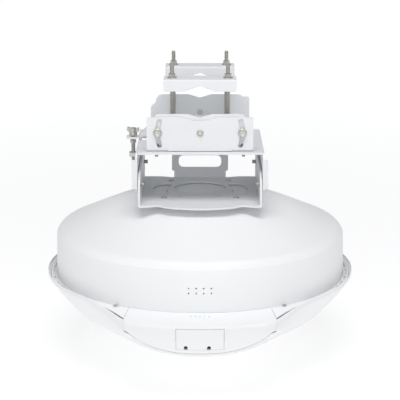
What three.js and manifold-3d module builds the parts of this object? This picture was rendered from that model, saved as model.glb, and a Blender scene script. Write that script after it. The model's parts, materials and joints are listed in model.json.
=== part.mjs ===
// Outdoor wireless bridge: a dish radio lying on its deep front cover, with its pole bracket on top.
// Millimetres, +Z up. The origin is the centre of the flat foot of the front cover, on the dish axis.
// The pole runs along Y. -Y is the underside of the mounted unit, where the ports are.
import * as THREE from "three";
import { mergeVertices } from "three/addons/utils/BufferGeometryUtils.js";
import Module from "manifold-3d";

const wasm = await Module();
wasm.setup();

// ---------------------------------------------------------------- driving dimensions
const GAP = 0.3; // between pieces that are cut from, or lie against, each other
const SEAM = 0.5; // visible seams between mouldings
const FACETS = 48; // flats round the dish, so that one flat is 7.5 degrees

// Dish mouldings
const RIM_R = 230;
const BOWL_DEPTH = 125.6; // foot to the widest line of the front cover
const FOOT_R = 33;
const RIM_LIP = 4.4; // the front cover's lip above its widest line
const COVER_WALL = 3;
const DRUM_INSET = 13.5; // the drum's wall inside the rim
const DRUM_HEIGHT = 66; // foot of the drum to where its wall would meet the cone
const DRUM_EDGE = 16; // roundness of that edge
const DRUM_WALL = 3;
const CONE_RISE = 53.4; // from the wall's top to the boss
const BOSS_R = 84;
const VENT_R = 1.1;

// Chin: the rim reaches out to CHIN_R over the middle, and flares back to the round rim
const CHIN_REACH = 32;
const CHIN_CORNER = 22.5; // degrees from -Y
const CHIN_FLARE = 45;
const CHIN_DROP = 10; // the fold lies this much below the lip
const CREASE_MIDDLE = { back: 23, below: 48.5 }; // the lower edge, from the fold
const CREASE_CORNER = { back: 4, below: 20 };
const CHIN_HALF = 106.5; // half the chin's width at its fold
const PORT_HALF = 33;
const PORT_BELOW = 3.5; // fold to the port opening
const PORT_HEIGHT = 36;
const NOTCHES = [-19.4, 12.2]; // cable notches, along X
const NOTCH_WIDTH = 5;
const NOTCH_HEIGHT = 7;

// Painted steel bracket
const SHEET = 3;
const PLATE_HALF = 88.7;
const PLATE_NEAR = -106; // corner of the near edge
const PLATE_BULGE = 120; // radius of the near edge's middle
const PLATE_FAR = 78;
const PLATE_HOLE_R = 38.3;
const PLATE_HOLE_Y = 10;
const WINDOW = { y: -3, inner: 49.5, rim: 14.2, from: -17, to: 27 }; // rim: up to the arm
const PLATE_SLOT = { r: 66, half: 3.2, sweep: 30 };
const BASE_SCREWS = [
  { x: 53, y: -57 },
  { x: 44, y: 52 },
];
const ARM_TOP = 53; // above the boss
const HANDLE_HALF = 43.5;
const HANDLE_TOP = 47;
const HANDLE_HOLE = { half: 33, low: 19, high: 38 };
const PIVOT_Y = -90;
const PIVOT_RISE = 31; // above the boss
const LOCK_Y = 60;
const TILT = 5; // degrees each way
const YOKE_SIDE_GAP = 0.8;
const YOKE_RISE = 47; // pivot to the top of the yoke's web
const YOKE_NEAR = -93;
const YOKE_FAR = 78;
const CARRIER_INSET = 16.5; // the carrier's ends inside the yoke's arms
const CARRIER_Y = 86; // outer faces
const CARRIER_SCREW_INSET = 13; // from the carrier's ends
const CARRIER_SCREW_Y = -60;
const CARRIER_HEIGHT = 50;
const RIVET_RISE = 27; // web of the yoke to the swing axis
const RIVET_R = 4;
const SLOT_INSET = 15.4; // arc slots from the carrier's ends
const SLOT_SWEEP = 17; // degrees each way
const CHANNEL_INSET = 9.5; // the channel's ends inside the carrier's
const CHANNEL_LIP = 27; // swing axis to the pole lips
const CHANNEL_FLOOR = 7; // swing axis down to the channel's underside
const POLE_NOTCH = { half: 17.8, depth: 5.4 };
const JAW_END = 12; // the jaw's ends outside its bolts
const JAW_NEAR = [-80, -40];
const JAW_FAR = [40, 80];
const JAW_GAP = 32; // lips to the jaws
const JAW_HEIGHT = 17;
const JAW_NOTCH = { half: 21.6, depth: 7.7 };
const CLAMP_INSET = 26.5; // clamp bolts from the channel's ends
const CLAMP_Y = 62;
const CLAMP_TIP = 21; // bolt above the jaws

// Fasteners
const M6 = 3; // shank radius
const M6_HEAD = 6.5;
const M6_HEAD_HEIGHT = 5;
const M5 = 2.5;
const HOLE_GAP = 0.4; // round a shank

// Fine adjuster on the left
const ADJUSTER_OUT = 7.5; // screw's axis outside the yoke's arm
const ADJUSTER_Y = 10;
const SWIVEL_LOW = -54; // from the swing axis
const SWIVEL_HEIGHT = 6;
const FORK_DROP = 27;
const FORK_GAP = 2;

// Inside
const REFLECTOR_R = 203;
const REFLECTOR_DEPTH = 80;
const REFLECTOR_WALL = 2;
const FEED_R = 9;
const FEED_LENGTH = 122;
const BOARD = 1.6;

// ---------------------------------------------------------------- derived heights
const BOWL_CENTRE = (RIM_R ** 2 - FOOT_R ** 2 + BOWL_DEPTH ** 2) / (2 * BOWL_DEPTH);
const BOWL_R = Math.hypot(FOOT_R, BOWL_CENTRE);
const LIP_Z = BOWL_DEPTH + RIM_LIP;
const CHIN_R = RIM_R + CHIN_REACH;
const FOLD_Z = LIP_Z - CHIN_DROP;
const DRUM_R = RIM_R - DRUM_INSET;
const PORT_TOP = FOLD_Z - PORT_BELOW;
const PORT_BOTTOM = PORT_TOP - PORT_HEIGHT;
const FLANGE_LOW = BOWL_DEPTH - 7; // the drum's flange, under the gasket
const FLANGE_HEIGHT = 2.5;
const GASKET_HEIGHT = 1.5;
const GASKET_WIDTH = 4.4;
const BEZEL_LOW = FLANGE_LOW + FLANGE_HEIGHT + GASKET_HEIGHT;
const BEZEL_HEIGHT = 2;
const BOSS_Z = BOWL_DEPTH + DRUM_HEIGHT + CONE_RISE;
const PLATE_TOP = BOSS_Z + SHEET;
const PIVOT_Z = BOSS_Z + PIVOT_RISE;
const YOKE_TOP = PIVOT_Z + YOKE_RISE;
const YOKE_IN = PLATE_HALF + YOKE_SIDE_GAP;
const YOKE_OUT = YOKE_IN + SHEET;
const SWING_Z = YOKE_TOP + RIVET_RISE;
const CARRIER_HALF = YOKE_OUT - CARRIER_INSET;
const CARRIER_PRESSED = CARRIER_HALF - 30; // half of the stretch where the walls reach down
const CARRIER_SCREW = { x: CARRIER_HALF - CARRIER_SCREW_INSET, y: CARRIER_SCREW_Y };
const SLOT_R = CARRIER_HALF - SLOT_INSET;
const CHANNEL_HALF = CARRIER_HALF - CHANNEL_INSET;
const CLAMP_X = CHANNEL_HALF - CLAMP_INSET;
const JAW_HALF = CLAMP_X + JAW_END;
const ADJUSTER = { x: -YOKE_OUT - ADJUSTER_OUT, y: ADJUSTER_Y };
const CARRIER_IN = CARRIER_Y - SHEET;
const CHANNEL_Y = CARRIER_IN - GAP;
const CHANNEL_FLOOR_Z = SWING_Z - CHANNEL_FLOOR;
const LIP_TOP = SWING_Z + CHANNEL_LIP;
const JAW_LOW = LIP_TOP + JAW_GAP;
const JAW_TOP = JAW_LOW + JAW_HEIGHT;
const RADIANS = Math.PI / 180;

// ---------------------------------------------------------------- finishes
const finish = (color, roughness, metalness) =>
  new THREE.MeshStandardMaterial({ color, roughness, metalness });
const FINISH = {
  moulding: () => finish(0xf0f1f3, 0.45, 0),
  painted: () => finish(0xe6e8eb, 0.5, 0),
  steel: () => finish(0x8f8d86, 0.35, 1),
  rubber: () => finish(0x2a2b2d, 0.8, 0),
  aluminium: () => finish(0xc3c6ca, 0.35, 1),
  board: () => finish(0x1f5a3c, 0.5, 0),
  tin: () => finish(0xb9bcc0, 0.3, 1),
  black: () => finish(0x18191b, 0.55, 0),
  light: () => finish(0xbcd8f2, 0.25, 0),
};

// ---------------------------------------------------------------- solids
function solidOf(geometry) {
  const bare = geometry.index ? geometry.toNonIndexed() : geometry.clone();
  bare.deleteAttribute("normal");
  bare.deleteAttribute("uv");
  const merged = mergeVertices(bare, 1e-4);
  return new wasm.Manifold(
    new wasm.Mesh({
      numProp: 3,
      vertProperties: merged.attributes.position.array,
      triVerts: new Uint32Array(merged.index.array),
    }),
  );
}

function geometryOf(solid) {
  const mesh = solid.getMesh();
  const geometry = new THREE.BufferGeometry();
  geometry.setAttribute("position", new THREE.BufferAttribute(mesh.vertProperties, 3));
  geometry.setIndex(new THREE.BufferAttribute(mesh.triVerts, 1));
  return geometry;
}

const join = (first, ...rest) => rest.reduce((whole, piece) => whole.add(piece), first);
const cut = (first, ...rest) => rest.reduce((whole, tool) => whole.subtract(tool), first);

const block = (x0, x1, y0, y1, z0, z1) =>
  solidOf(
    new THREE.BoxGeometry(x1 - x0, y1 - y0, z1 - z0).translate(
      (x0 + x1) / 2,
      (y0 + y1) / 2,
      (z0 + z1) / 2,
    ),
  );

// Rods along Z and Y
const rodZ = (r, x, y, z0, z1, sides = 16) =>
  solidOf(
    new THREE.CylinderGeometry(r, r, z1 - z0, sides)
      .rotateX(Math.PI / 2)
      .translate(x, y, (z0 + z1) / 2),
  );
const rodY = (r, x, y0, y1, z, sides = 16) =>
  solidOf(
    new THREE.CylinderGeometry(r, r, y1 - y0, sides).translate(x, (y0 + y1) / 2, z),
  );

// A sheet lies flat (x, y), stands across Y (x, z), or stands across X (y, z)
const extruded = (shape, depth) =>
  new THREE.ExtrudeGeometry(shape, { depth, bevelEnabled: false, curveSegments: 4 });
const sheetZ = (shape, z, thickness = SHEET) =>
  solidOf(extruded(shape, thickness).translate(0, 0, z));
const sheetY = (shape, y, thickness = SHEET) =>
  solidOf(
    extruded(shape, thickness)
      .rotateX(Math.PI / 2)
      .translate(0, y + thickness, 0),
  );
const cyclic = new THREE.Matrix4().makeBasis(
  new THREE.Vector3(0, 1, 0),
  new THREE.Vector3(0, 0, 1),
  new THREE.Vector3(1, 0, 0),
);
const sheetX = (shape, x, thickness = SHEET) =>
  solidOf(extruded(shape, thickness).applyMatrix4(cyclic).translate(x, 0, 0));

// A closed outline with its corners rounded: each corner is [x, y, radius]
function outline(corners, Kind = THREE.Shape) {
  const path = new Kind();
  corners.forEach(([x, y, radius = 0], i) => {
    const before = corners[(i + corners.length - 1) % corners.length];
    const after = corners[(i + 1) % corners.length];
    const at = new THREE.Vector2(x, y);
    const into = new THREE.Vector2(before[0], before[1]).sub(at).normalize();
    const out = new THREE.Vector2(after[0], after[1]).sub(at).normalize();
    const room = Math.min(
      Math.hypot(before[0] - x, before[1] - y),
      Math.hypot(after[0] - x, after[1] - y),
    );
    const fillet = Math.min(radius, room * 0.45);
    const start = at.clone().addScaledVector(into, fillet);
    const end = at.clone().addScaledVector(out, fillet);
    if (i === 0) path.moveTo(start.x, start.y);
    else path.lineTo(start.x, start.y);
    if (fillet) path.quadraticCurveTo(x, y, end.x, end.y);
  });
  path.closePath();
  return path;
}

const roundedBox = (x0, x1, y0, y1, radius, Kind) =>
  outline(
    [
      [x0, y0, radius],
      [x1, y0, radius],
      [x1, y1, radius],
      [x0, y1, radius],
    ],
    Kind,
  );

function circle(x, y, r, arcs = 1) {
  const path = new THREE.Path();
  for (let i = 0; i < arcs; i++)
    path.absarc(x, y, r, (2 * Math.PI * i) / arcs, (2 * Math.PI * (i + 1)) / arcs, false);
  return path;
}

// A slot that follows an arc about (x, y), from one angle to the other, in degrees
function arcSlot(x, y, radius, from, to, half, Kind = THREE.Path) {
  const a = from * RADIANS;
  const b = to * RADIANS;
  const path = new Kind();
  path.absarc(x, y, radius + half, a, b, false);
  path.absarc(
    x + radius * Math.cos(b),
    y + radius * Math.sin(b),
    half,
    b,
    b + Math.PI,
    false,
  );
  path.absarc(x, y, radius - half, b, a, true);
  path.absarc(
    x + radius * Math.cos(a),
    y + radius * Math.sin(a),
    half,
    a + Math.PI,
    a + 2 * Math.PI,
    false,
  );
  path.closePath();
  return path;
}

// A profile of [radius, height] turned about the Z axis
function turned(profile, sides = FACETS) {
  const points = profile.map(([r, z]) => new THREE.Vector2(r, z));
  if (THREE.ShapeUtils.area(points) < 0) points.reverse();
  return solidOf(new THREE.LatheGeometry(points, sides).rotateX(Math.PI / 2));
}
const ring = (inner, outer, low, high, sides = FACETS) =>
  turned(
    [
      [inner, low],
      [outer, low],
      [outer, high],
      [inner, high],
      [inner, low],
    ],
    sides,
  );

// A profile that changes round the dish: sectionAt(degrees from -Y) gives [radius, height] points
function swept(sectionAt) {
  const count = sectionAt(180).length;
  const points = sectionAt(180).map(([r, z]) => new THREE.Vector2(r, z));
  const geometry = new THREE.LatheGeometry(points, FACETS);
  const position = geometry.attributes.position;
  for (let i = 0; i < position.count; i++) {
    const turn = Math.floor(i / count) % FACETS;
    const angle = (turn * 2 * Math.PI) / FACETS;
    const degrees = (turn * 360) / FACETS;
    const [r, z] = sectionAt(degrees > 180 ? 360 - degrees : degrees)[i % count];
    position.setXYZ(i, r * Math.sin(angle), -r * Math.cos(angle), z);
  }
  return solidOf(geometry);
}

// ---------------------------------------------------------------- the dish's outline
// How far the flank between the round rim and the chin has reached out, from 0 to 1
function reach(degrees) {
  if (degrees <= CHIN_CORNER) return 1;
  if (degrees >= CHIN_FLARE) return 0;
  const a = CHIN_CORNER * RADIANS;
  const b = CHIN_FLARE * RADIANS;
  const corner = new THREE.Vector2(CHIN_R * Math.sin(a), CHIN_R * Math.cos(a));
  const flare = new THREE.Vector2(RIM_R * Math.sin(b), RIM_R * Math.cos(b));
  const side = flare.clone().sub(corner);
  const ray = new THREE.Vector2(
    Math.sin(degrees * RADIANS),
    Math.cos(degrees * RADIANS),
  );
  const r = corner.cross(side) / ray.cross(side);
  return (r - RIM_R) / CHIN_REACH;
}

const bowlZ = (r) => BOWL_CENTRE - Math.sqrt(BOWL_R ** 2 - r ** 2);
const blend = (a, b, t) => a + (b - a) * t;
const blendPoint = (a, b, t) => [blend(a[0], b[0], t), blend(a[1], b[1], t)];

// The front cover's outside, from the foot up to the lip
const BOWL_STATIONS = [0.315, 0.47, 0.63, 0.785, 0.87, 0.93, 0.975]; // of the rim's radius
function coverSection(degrees) {
  const round = BOWL_STATIONS.map((share) => [share * RIM_R, bowlZ(share * RIM_R)]);
  const low = round[1];
  const high = round[3];
  round[2] = blendPoint(low, high, (round[2][0] - low[0]) / (high[0] - low[0]));
  round.push([RIM_R, BOWL_DEPTH], [RIM_R, LIP_Z]);
  const k = Math.min(1, degrees / CHIN_CORNER) ** 3;
  const crease = [
    CHIN_R - blend(CREASE_MIDDLE.back, CREASE_CORNER.back, k),
    FOLD_Z - blend(CREASE_MIDDLE.below, CREASE_CORNER.below, k),
  ];
  const fold = [CHIN_R, FOLD_Z - 4];
  const chin = [
    round[0],
    round[1],
    round[2],
    blendPoint(round[2], crease, 0.55),
    blendPoint(round[2], crease, 0.93),
    [crease[0] + 1.5, crease[1] + 2],
    blendPoint(crease, fold, 0.55),
    fold,
    [CHIN_R - 2, FOLD_Z],
  ];
  chin[6][0] += 2;
  const t = reach(degrees);
  return [
    [0, 0],
    [FOOT_R, 0],
    ...round.map((point, i) => blendPoint(point, chin[i], t)),
  ];
}

// The same outline moved inwards by a wall
function insideOf(section, wall) {
  return section.map(([r, z], i) => {
    if (i === 0) return [0, z + wall];
    if (i === section.length - 1) return [r - wall, z];
    const before = section[i - 1];
    const after = section[i + 1];
    const length = Math.hypot(after[0] - before[0], after[1] - before[1]);
    return [
      r - (wall * (after[1] - before[1])) / length,
      z + (wall * (after[0] - before[0])) / length,
    ];
  });
}

const coverShell = () =>
  swept((degrees) => {
    const outside = coverSection(degrees);
    return [...outside, ...insideOf(outside, COVER_WALL).reverse()];
  });

// Radius of a rising profile at a height
function radiusAt(profile, z) {
  const i = profile.findIndex((point) => point[1] > z);
  if (i < 0) return profile[profile.length - 1][0];
  const [low, high] = [profile[i - 1], profile[i]];
  return blend(low[0], high[0], (z - low[1]) / (high[1] - low[1]));
}

// The drum's flange reaches out to the inside of the front cover
const FLANGE_R = radiusAt(insideOf(coverSection(180), COVER_WALL), FLANGE_LOW) - GAP;

// The flat ring between drum and lip, which widens into the chin's plateau
function plateau(gap) {
  return swept((degrees) => {
    const section = coverSection(degrees);
    const lipZ = section[section.length - 1][1];
    const t = reach(degrees);
    const top = blend(BEZEL_LOW + BEZEL_HEIGHT, lipZ, t);
    const outer = radiusAt(insideOf(section, COVER_WALL), top) - gap;
    const inner = DRUM_R + GAP;
    const step = inner + 3.5;
    return [
      [inner, BEZEL_LOW],
      [step + 2, BEZEL_LOW],
      [outer - 2.6, blend(BEZEL_LOW, top - BEZEL_HEIGHT, t)],
      [outer, top],
      [step + 2, BEZEL_LOW + BEZEL_HEIGHT],
      [step, blend(BEZEL_LOW + BEZEL_HEIGHT - 1.2, BEZEL_LOW + BEZEL_HEIGHT, t)],
      [inner, BEZEL_LOW + BEZEL_HEIGHT],
      [inner, BEZEL_LOW],
    ];
  });
}

// The region of the chin housing, drawn in by an inset on every side
function chinRegion(inset) {
  const taper = 0.155;
  const foldY = CHIN_R * Math.cos(CHIN_CORNER * RADIANS);
  const nearY = CHIN_R + 30;
  const farY = DRUM_R * Math.cos(CHIN_CORNER * RADIANS) - 30;
  const half = (y) => CHIN_HALF + (y - foldY) * taper - inset;
  const plan = outline([
    [-half(nearY), -nearY],
    [half(nearY), -nearY],
    [half(farY), -farY],
    [-half(farY), -farY],
  ]);
  const low = FOLD_Z - CREASE_MIDDLE.below + 1.5 + inset;
  const ends = FOLD_Z - CREASE_CORNER.below + 1.5 + inset;
  const wide = CHIN_R;
  const arch = new THREE.Shape();
  arch.moveTo(wide, LIP_Z + 20);
  arch.lineTo(-wide, LIP_Z + 20);
  const span = CHIN_R * Math.sin(CHIN_CORNER * RADIANS);
  const archZ = (x) => blend(low, ends, Math.abs(x / span) ** 3);
  for (let x = -1.1 * span; x <= 1.11 * span; x += span * 0.2) arch.lineTo(x, archZ(x));
  arch.closePath();
  return sheetZ(plan, 0, LIP_Z + 40).intersect(sheetY(arch, -nearY, nearY));
}

const portOpening = (inset) =>
  block(
    -PORT_HALF + inset,
    PORT_HALF - inset,
    -CHIN_R - 20,
    -DRUM_R + 12,
    PORT_BOTTOM + inset,
    PORT_TOP - inset,
  );

// ---------------------------------------------------------------- the assembly
const bridge = new THREE.Group();

function add(name, solid, material, parent = bridge) {
  const mesh = new THREE.Mesh(geometryOf(solid), FINISH[material]());
  mesh.name = name;
  parent.add(mesh);
  return mesh;
}

// A piece made about its own origin, then placed
function place(name, solid, material, x, y, z, turn = [0, 0, 0]) {
  const mesh = add(name, solid, material);
  mesh.position.set(x, y, z);
  mesh.rotation.set(...turn);
  return mesh;
}

// ---------------------------------------------------------------- dish mouldings
const LED_PITCH = 6.2;
const LED_Y = 33 - CHIN_R;
const LED_R = 1.3;
const LEDS = [-2, -1, 0, 1, 2];
const RIM_SCREW = { x: 118, r: 3 };
const rimScrewY = -Math.sqrt((DRUM_R + 4) ** 2 - RIM_SCREW.x ** 2);

const ledHoles = LEDS.map((i) =>
  rodZ(LED_R + GAP, i * LED_PITCH, LED_Y, BOWL_DEPTH - 20, LIP_Z + 5, 10),
);
const rimScrewHoles = [-1, 1].map((side) =>
  rodZ(1.5 + GAP, side * RIM_SCREW.x, rimScrewY, FLANGE_LOW - 5, LIP_Z + 5, 10),
);

add("front_radome", cut(coverShell(), chinRegion(0), ...rimScrewHoles), "moulding");
add("bezel_ring", cut(plateau(GAP), chinRegion(0), ...rimScrewHoles), "moulding");
add(
  "chin_housing",
  cut(
    join(coverShell(), plateau(-1)).intersect(chinRegion(SEAM)),
    portOpening(0),
    ...ledHoles,
  ),
  "moulding",
);

const notchTools = NOTCHES.map((x) =>
  join(
    block(
      x - NOTCH_WIDTH / 2,
      x + NOTCH_WIDTH / 2,
      -CHIN_R - 20,
      -DRUM_R + 12,
      PORT_BOTTOM - 5,
      PORT_BOTTOM + NOTCH_HEIGHT - NOTCH_WIDTH / 2,
    ),
    rodY(
      NOTCH_WIDTH / 2,
      x,
      -CHIN_R - 20,
      -DRUM_R + 12,
      PORT_BOTTOM + NOTCH_HEIGHT - NOTCH_WIDTH / 2,
    ),
  ),
);
add(
  "port_cover",
  cut(coverShell().intersect(portOpening(GAP + 0.1)), ...notchTools),
  "moulding",
);

// Drum, cone and boss, with the flange that the gasket sits on
const coneFoot = [DRUM_R - 1.25 * DRUM_EDGE, BOWL_DEPTH + DRUM_HEIGHT + 0.5 * DRUM_EDGE];
const onCone = (out, down) => [
  blend(BOSS_R, coneFoot[0], out),
  blend(BOSS_Z, coneFoot[1], down),
];
const drumOutside = [
  [DRUM_R, BEZEL_LOW],
  [DRUM_R - 1, BOWL_DEPTH + DRUM_HEIGHT - DRUM_EDGE],
  [DRUM_R - 0.2 * DRUM_EDGE, BOWL_DEPTH + DRUM_HEIGHT - 0.45 * DRUM_EDGE],
  [DRUM_R - 0.65 * DRUM_EDGE, BOWL_DEPTH + DRUM_HEIGHT + 0.18 * DRUM_EDGE],
  coneFoot,
  onCone(0.587, 0.54),
  onCone(0.231, 0.187),
  [BOSS_R + 2, BOSS_Z - 0.8],
  [BOSS_R, BOSS_Z],
];
const drumInside = insideOf([[0, 0], ...drumOutside, [0, BOSS_Z]], DRUM_WALL).slice(
  2,
  -2,
);
const bossScrews = [-1, 1].flatMap((side) =>
  BASE_SCREWS.map(({ x, y }) => [side * x, y]),
);
const VENT = { columns: [-1.5, -0.5, 0.5, 1.5], rows: [26.8, 33.8], pitch: 10.5 };
const vents = VENT.columns.flatMap((column) =>
  VENT.rows.map((row) =>
    rodY(
      VENT_R,
      column * VENT.pitch,
      -DRUM_R - 10,
      -DRUM_R + 12,
      BOWL_DEPTH + row,
      8,
    ),
  ),
);
add(
  "rear_housing",
  cut(
    turned([
      [DRUM_R - DRUM_WALL, FLANGE_LOW],
      [FLANGE_R, FLANGE_LOW],
      [FLANGE_R, FLANGE_LOW + FLANGE_HEIGHT],
      [DRUM_R, FLANGE_LOW + FLANGE_HEIGHT],
      ...drumOutside,
      [0, BOSS_Z],
      [0, BOSS_Z - DRUM_WALL],
      [BOSS_R - 1, BOSS_Z - DRUM_WALL],
      ...drumInside.slice(0, -1).reverse(),
      [DRUM_R - DRUM_WALL, BEZEL_LOW],
      [DRUM_R - DRUM_WALL, FLANGE_LOW],
    ]),
    ...bossScrews.map(([x, y]) =>
      rodZ(M5 + HOLE_GAP, x, y, BOSS_Z - 10, BOSS_Z + 5, 12),
    ),
    ...vents,
    ...rimScrewHoles,
  ),
  "moulding",
);

add(
  "rim_gasket",
  cut(
    ring(
      DRUM_R + GAP,
      DRUM_R + GAP + GASKET_WIDTH,
      FLANGE_LOW + FLANGE_HEIGHT,
      BEZEL_LOW,
    ),
    ...rimScrewHoles,
  ),
  "rubber",
);

LEDS.forEach((i, n) =>
  add(
    "status_led_" + (n + 1),
    rodZ(
      LED_R,
      i * LED_PITCH,
      LED_Y,
      FOLD_Z - 2,
      blend(
        BEZEL_LOW + BEZEL_HEIGHT,
        FOLD_Z,
        (-LED_Y - DRUM_R - 5.8) / (CHIN_R - DRUM_R - 11),
      ) + 0.3,
      10,
    ),
    "light",
  ),
);

[-1, 1].forEach((side) => {
  const body = join(
    rodZ(1.5, 0, 0, FLANGE_LOW, BEZEL_LOW + BEZEL_HEIGHT + 1, 10),
    rodZ(
      RIM_SCREW.r,
      0,
      0,
      BEZEL_LOW + BEZEL_HEIGHT + GAP,
      BEZEL_LOW + BEZEL_HEIGHT + 2,
      12,
    ),
  );
  place(
    "bezel_screw_" + (side < 0 ? "left" : "right"),
    body,
    "steel",
    side * RIM_SCREW.x,
    rimScrewY,
    0,
  );
});

// ---------------------------------------------------------------- inside the dish
const VERTEX_Z = BOSS_Z - 31;
const REFLECTOR_FLAT = 32;
const reflectorZ = (r) =>
  VERTEX_Z -
  (REFLECTOR_DEPTH * (r * r - REFLECTOR_FLAT ** 2)) /
    (REFLECTOR_R ** 2 - REFLECTOR_FLAT ** 2);
const DISH_STATIONS = [1, 0.8, 0.6, 0.4];
const dishFront = [
  ...DISH_STATIONS.map((share) => [
    share * REFLECTOR_R,
    reflectorZ(share * REFLECTOR_R),
  ]),
  [REFLECTOR_FLAT, VERTEX_Z],
];
const dishRim = DRUM_R - DRUM_WALL - 1;
add(
  "reflector",
  cut(
    turned(
      [
        [FEED_R + GAP, VERTEX_Z],
        ...dishFront.slice().reverse(),
        [dishRim, VERTEX_Z - REFLECTOR_DEPTH],
        [dishRim, VERTEX_Z - REFLECTOR_DEPTH + REFLECTOR_WALL],
        ...dishFront.map(([r, z]) => [r, z + REFLECTOR_WALL]),
        [FEED_R + GAP, VERTEX_Z + REFLECTOR_WALL],
        [FEED_R + GAP, VERTEX_Z],
      ],
      36,
    ),
    block(
      -6,
      6,
      -dishRim - 5,
      -REFLECTOR_R + 1,
      VERTEX_Z - REFLECTOR_DEPTH - 5,
      VERTEX_Z - REFLECTOR_DEPTH + 10,
    ),
  ),
  "aluminium",
);

const FEED_TOP = VERTEX_Z + REFLECTOR_WALL + 3;
const FEED_LOW = VERTEX_Z - FEED_LENGTH;
add(
  "feed_tube",
  join(
    rodZ(REFLECTOR_FLAT - 4, 0, 0, VERTEX_Z + REFLECTOR_WALL, FEED_TOP, 24),
    rodZ(FEED_R, 0, 0, FEED_LOW, FEED_TOP, 20),
  ),
  "aluminium",
);
add(
  "sub_reflector",
  turned(
    [
      [0, FEED_LOW - 10],
      [24, FEED_LOW - 7],
      [24, FEED_LOW - 5],
      [FEED_R + 1, FEED_LOW],
      [0, FEED_LOW],
    ],
    24,
  ),
  "black",
);
add("main_board", block(-58, 58, -58, 58, FEED_TOP, FEED_TOP + BOARD), "board");
add(
  "rf_shield",
  block(-32, 32, -32, 32, FEED_TOP + BOARD, FEED_TOP + BOARD + 6.5),
  "tin",
);

// Port board, hung over the two sockets that face the cable notches
const PORT_FRONT = -DRUM_R - 14;
const BOARD_LOW = PORT_BOTTOM + 12.5;
add(
  "port_board",
  block(-36, 36, PORT_FRONT, PORT_FRONT + 52, BOARD_LOW, BOARD_LOW + BOARD),
  "board",
);
const jack = { half: 8.2, height: 14, depth: 21 };
add(
  "ethernet_jack",
  cut(
    block(
      NOTCHES[0] - jack.half,
      NOTCHES[0] + jack.half,
      PORT_FRONT,
      PORT_FRONT + jack.depth,
      BOARD_LOW - jack.height,
      BOARD_LOW,
    ),
    block(
      NOTCHES[0] - jack.half + 2,
      NOTCHES[0] + jack.half - 2,
      PORT_FRONT - 5,
      PORT_FRONT + jack.depth - 6,
      BOARD_LOW - jack.height + 2.5,
      BOARD_LOW - 3,
    ),
  ),
  "tin",
);
const cage = { half: 7.2, height: 10, depth: 46, wall: 0.8 };
add(
  "fibre_cage",
  cut(
    block(
      NOTCHES[1] - cage.half,
      NOTCHES[1] + cage.half,
      PORT_FRONT,
      PORT_FRONT + cage.depth,
      BOARD_LOW - cage.height,
      BOARD_LOW,
    ),
    block(
      NOTCHES[1] - cage.half + cage.wall,
      NOTCHES[1] + cage.half - cage.wall,
      PORT_FRONT - 5,
      PORT_FRONT + cage.depth - 3,
      BOARD_LOW - cage.height + cage.wall,
      BOARD_LOW - cage.wall,
    ),
  ),
  "tin",
);
const RESET = { x: 27, z: BOARD_LOW - 4, r: 1.8, travel: 1 };
add(
  "reset_switch",
  cut(
    block(RESET.x - 4, RESET.x + 4, PORT_FRONT + 2, PORT_FRONT + 9, BOARD_LOW - 8, BOARD_LOW),
    rodY(RESET.r + GAP, RESET.x, PORT_FRONT - 5, PORT_FRONT + 6, RESET.z, 12),
  ),
  "black",
);
add(
  "reset_button",
  rodY(RESET.r, RESET.x, PORT_FRONT, PORT_FRONT + 6 - RESET.travel - GAP, RESET.z, 12),
  "black",
);

// From the port board, up between the reflector and the drum, and over the reflector's back
const overBack = (r, lift) => [0, -r, reflectorZ(r) + lift];
const cableRoute = new THREE.CatmullRomCurve3(
  [
    [0, PORT_FRONT + 49, BOARD_LOW + BOARD + 3.5],
    [0, -DRUM_R + 21.5, BOARD_LOW + 12],
    [0, -DRUM_R + 9.5, BOARD_LOW + 29],
    [0, -DRUM_R + 8.5, VERTEX_Z - REFLECTOR_DEPTH + 4],
    overBack(REFLECTOR_R - 4, 15),
    overBack(REFLECTOR_R - 33, 19.5),
    overBack(REFLECTOR_R - 73, 20.5),
    overBack(REFLECTOR_R - 113, 19),
    [0, -64, FEED_TOP + 8],
    [0, -50, FEED_TOP + 6],
  ].map((point) => new THREE.Vector3(...point)),
);
const cableSection = new THREE.Shape();
cableSection.absarc(0, 0, 2, 0, 2 * Math.PI, false);
add(
  "board_cable",
  solidOf(
    new THREE.ExtrudeGeometry(cableSection, {
      steps: 26,
      curveSegments: 4,
      extrudePath: cableRoute,
    }),
  ),
  "black",
);

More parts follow.
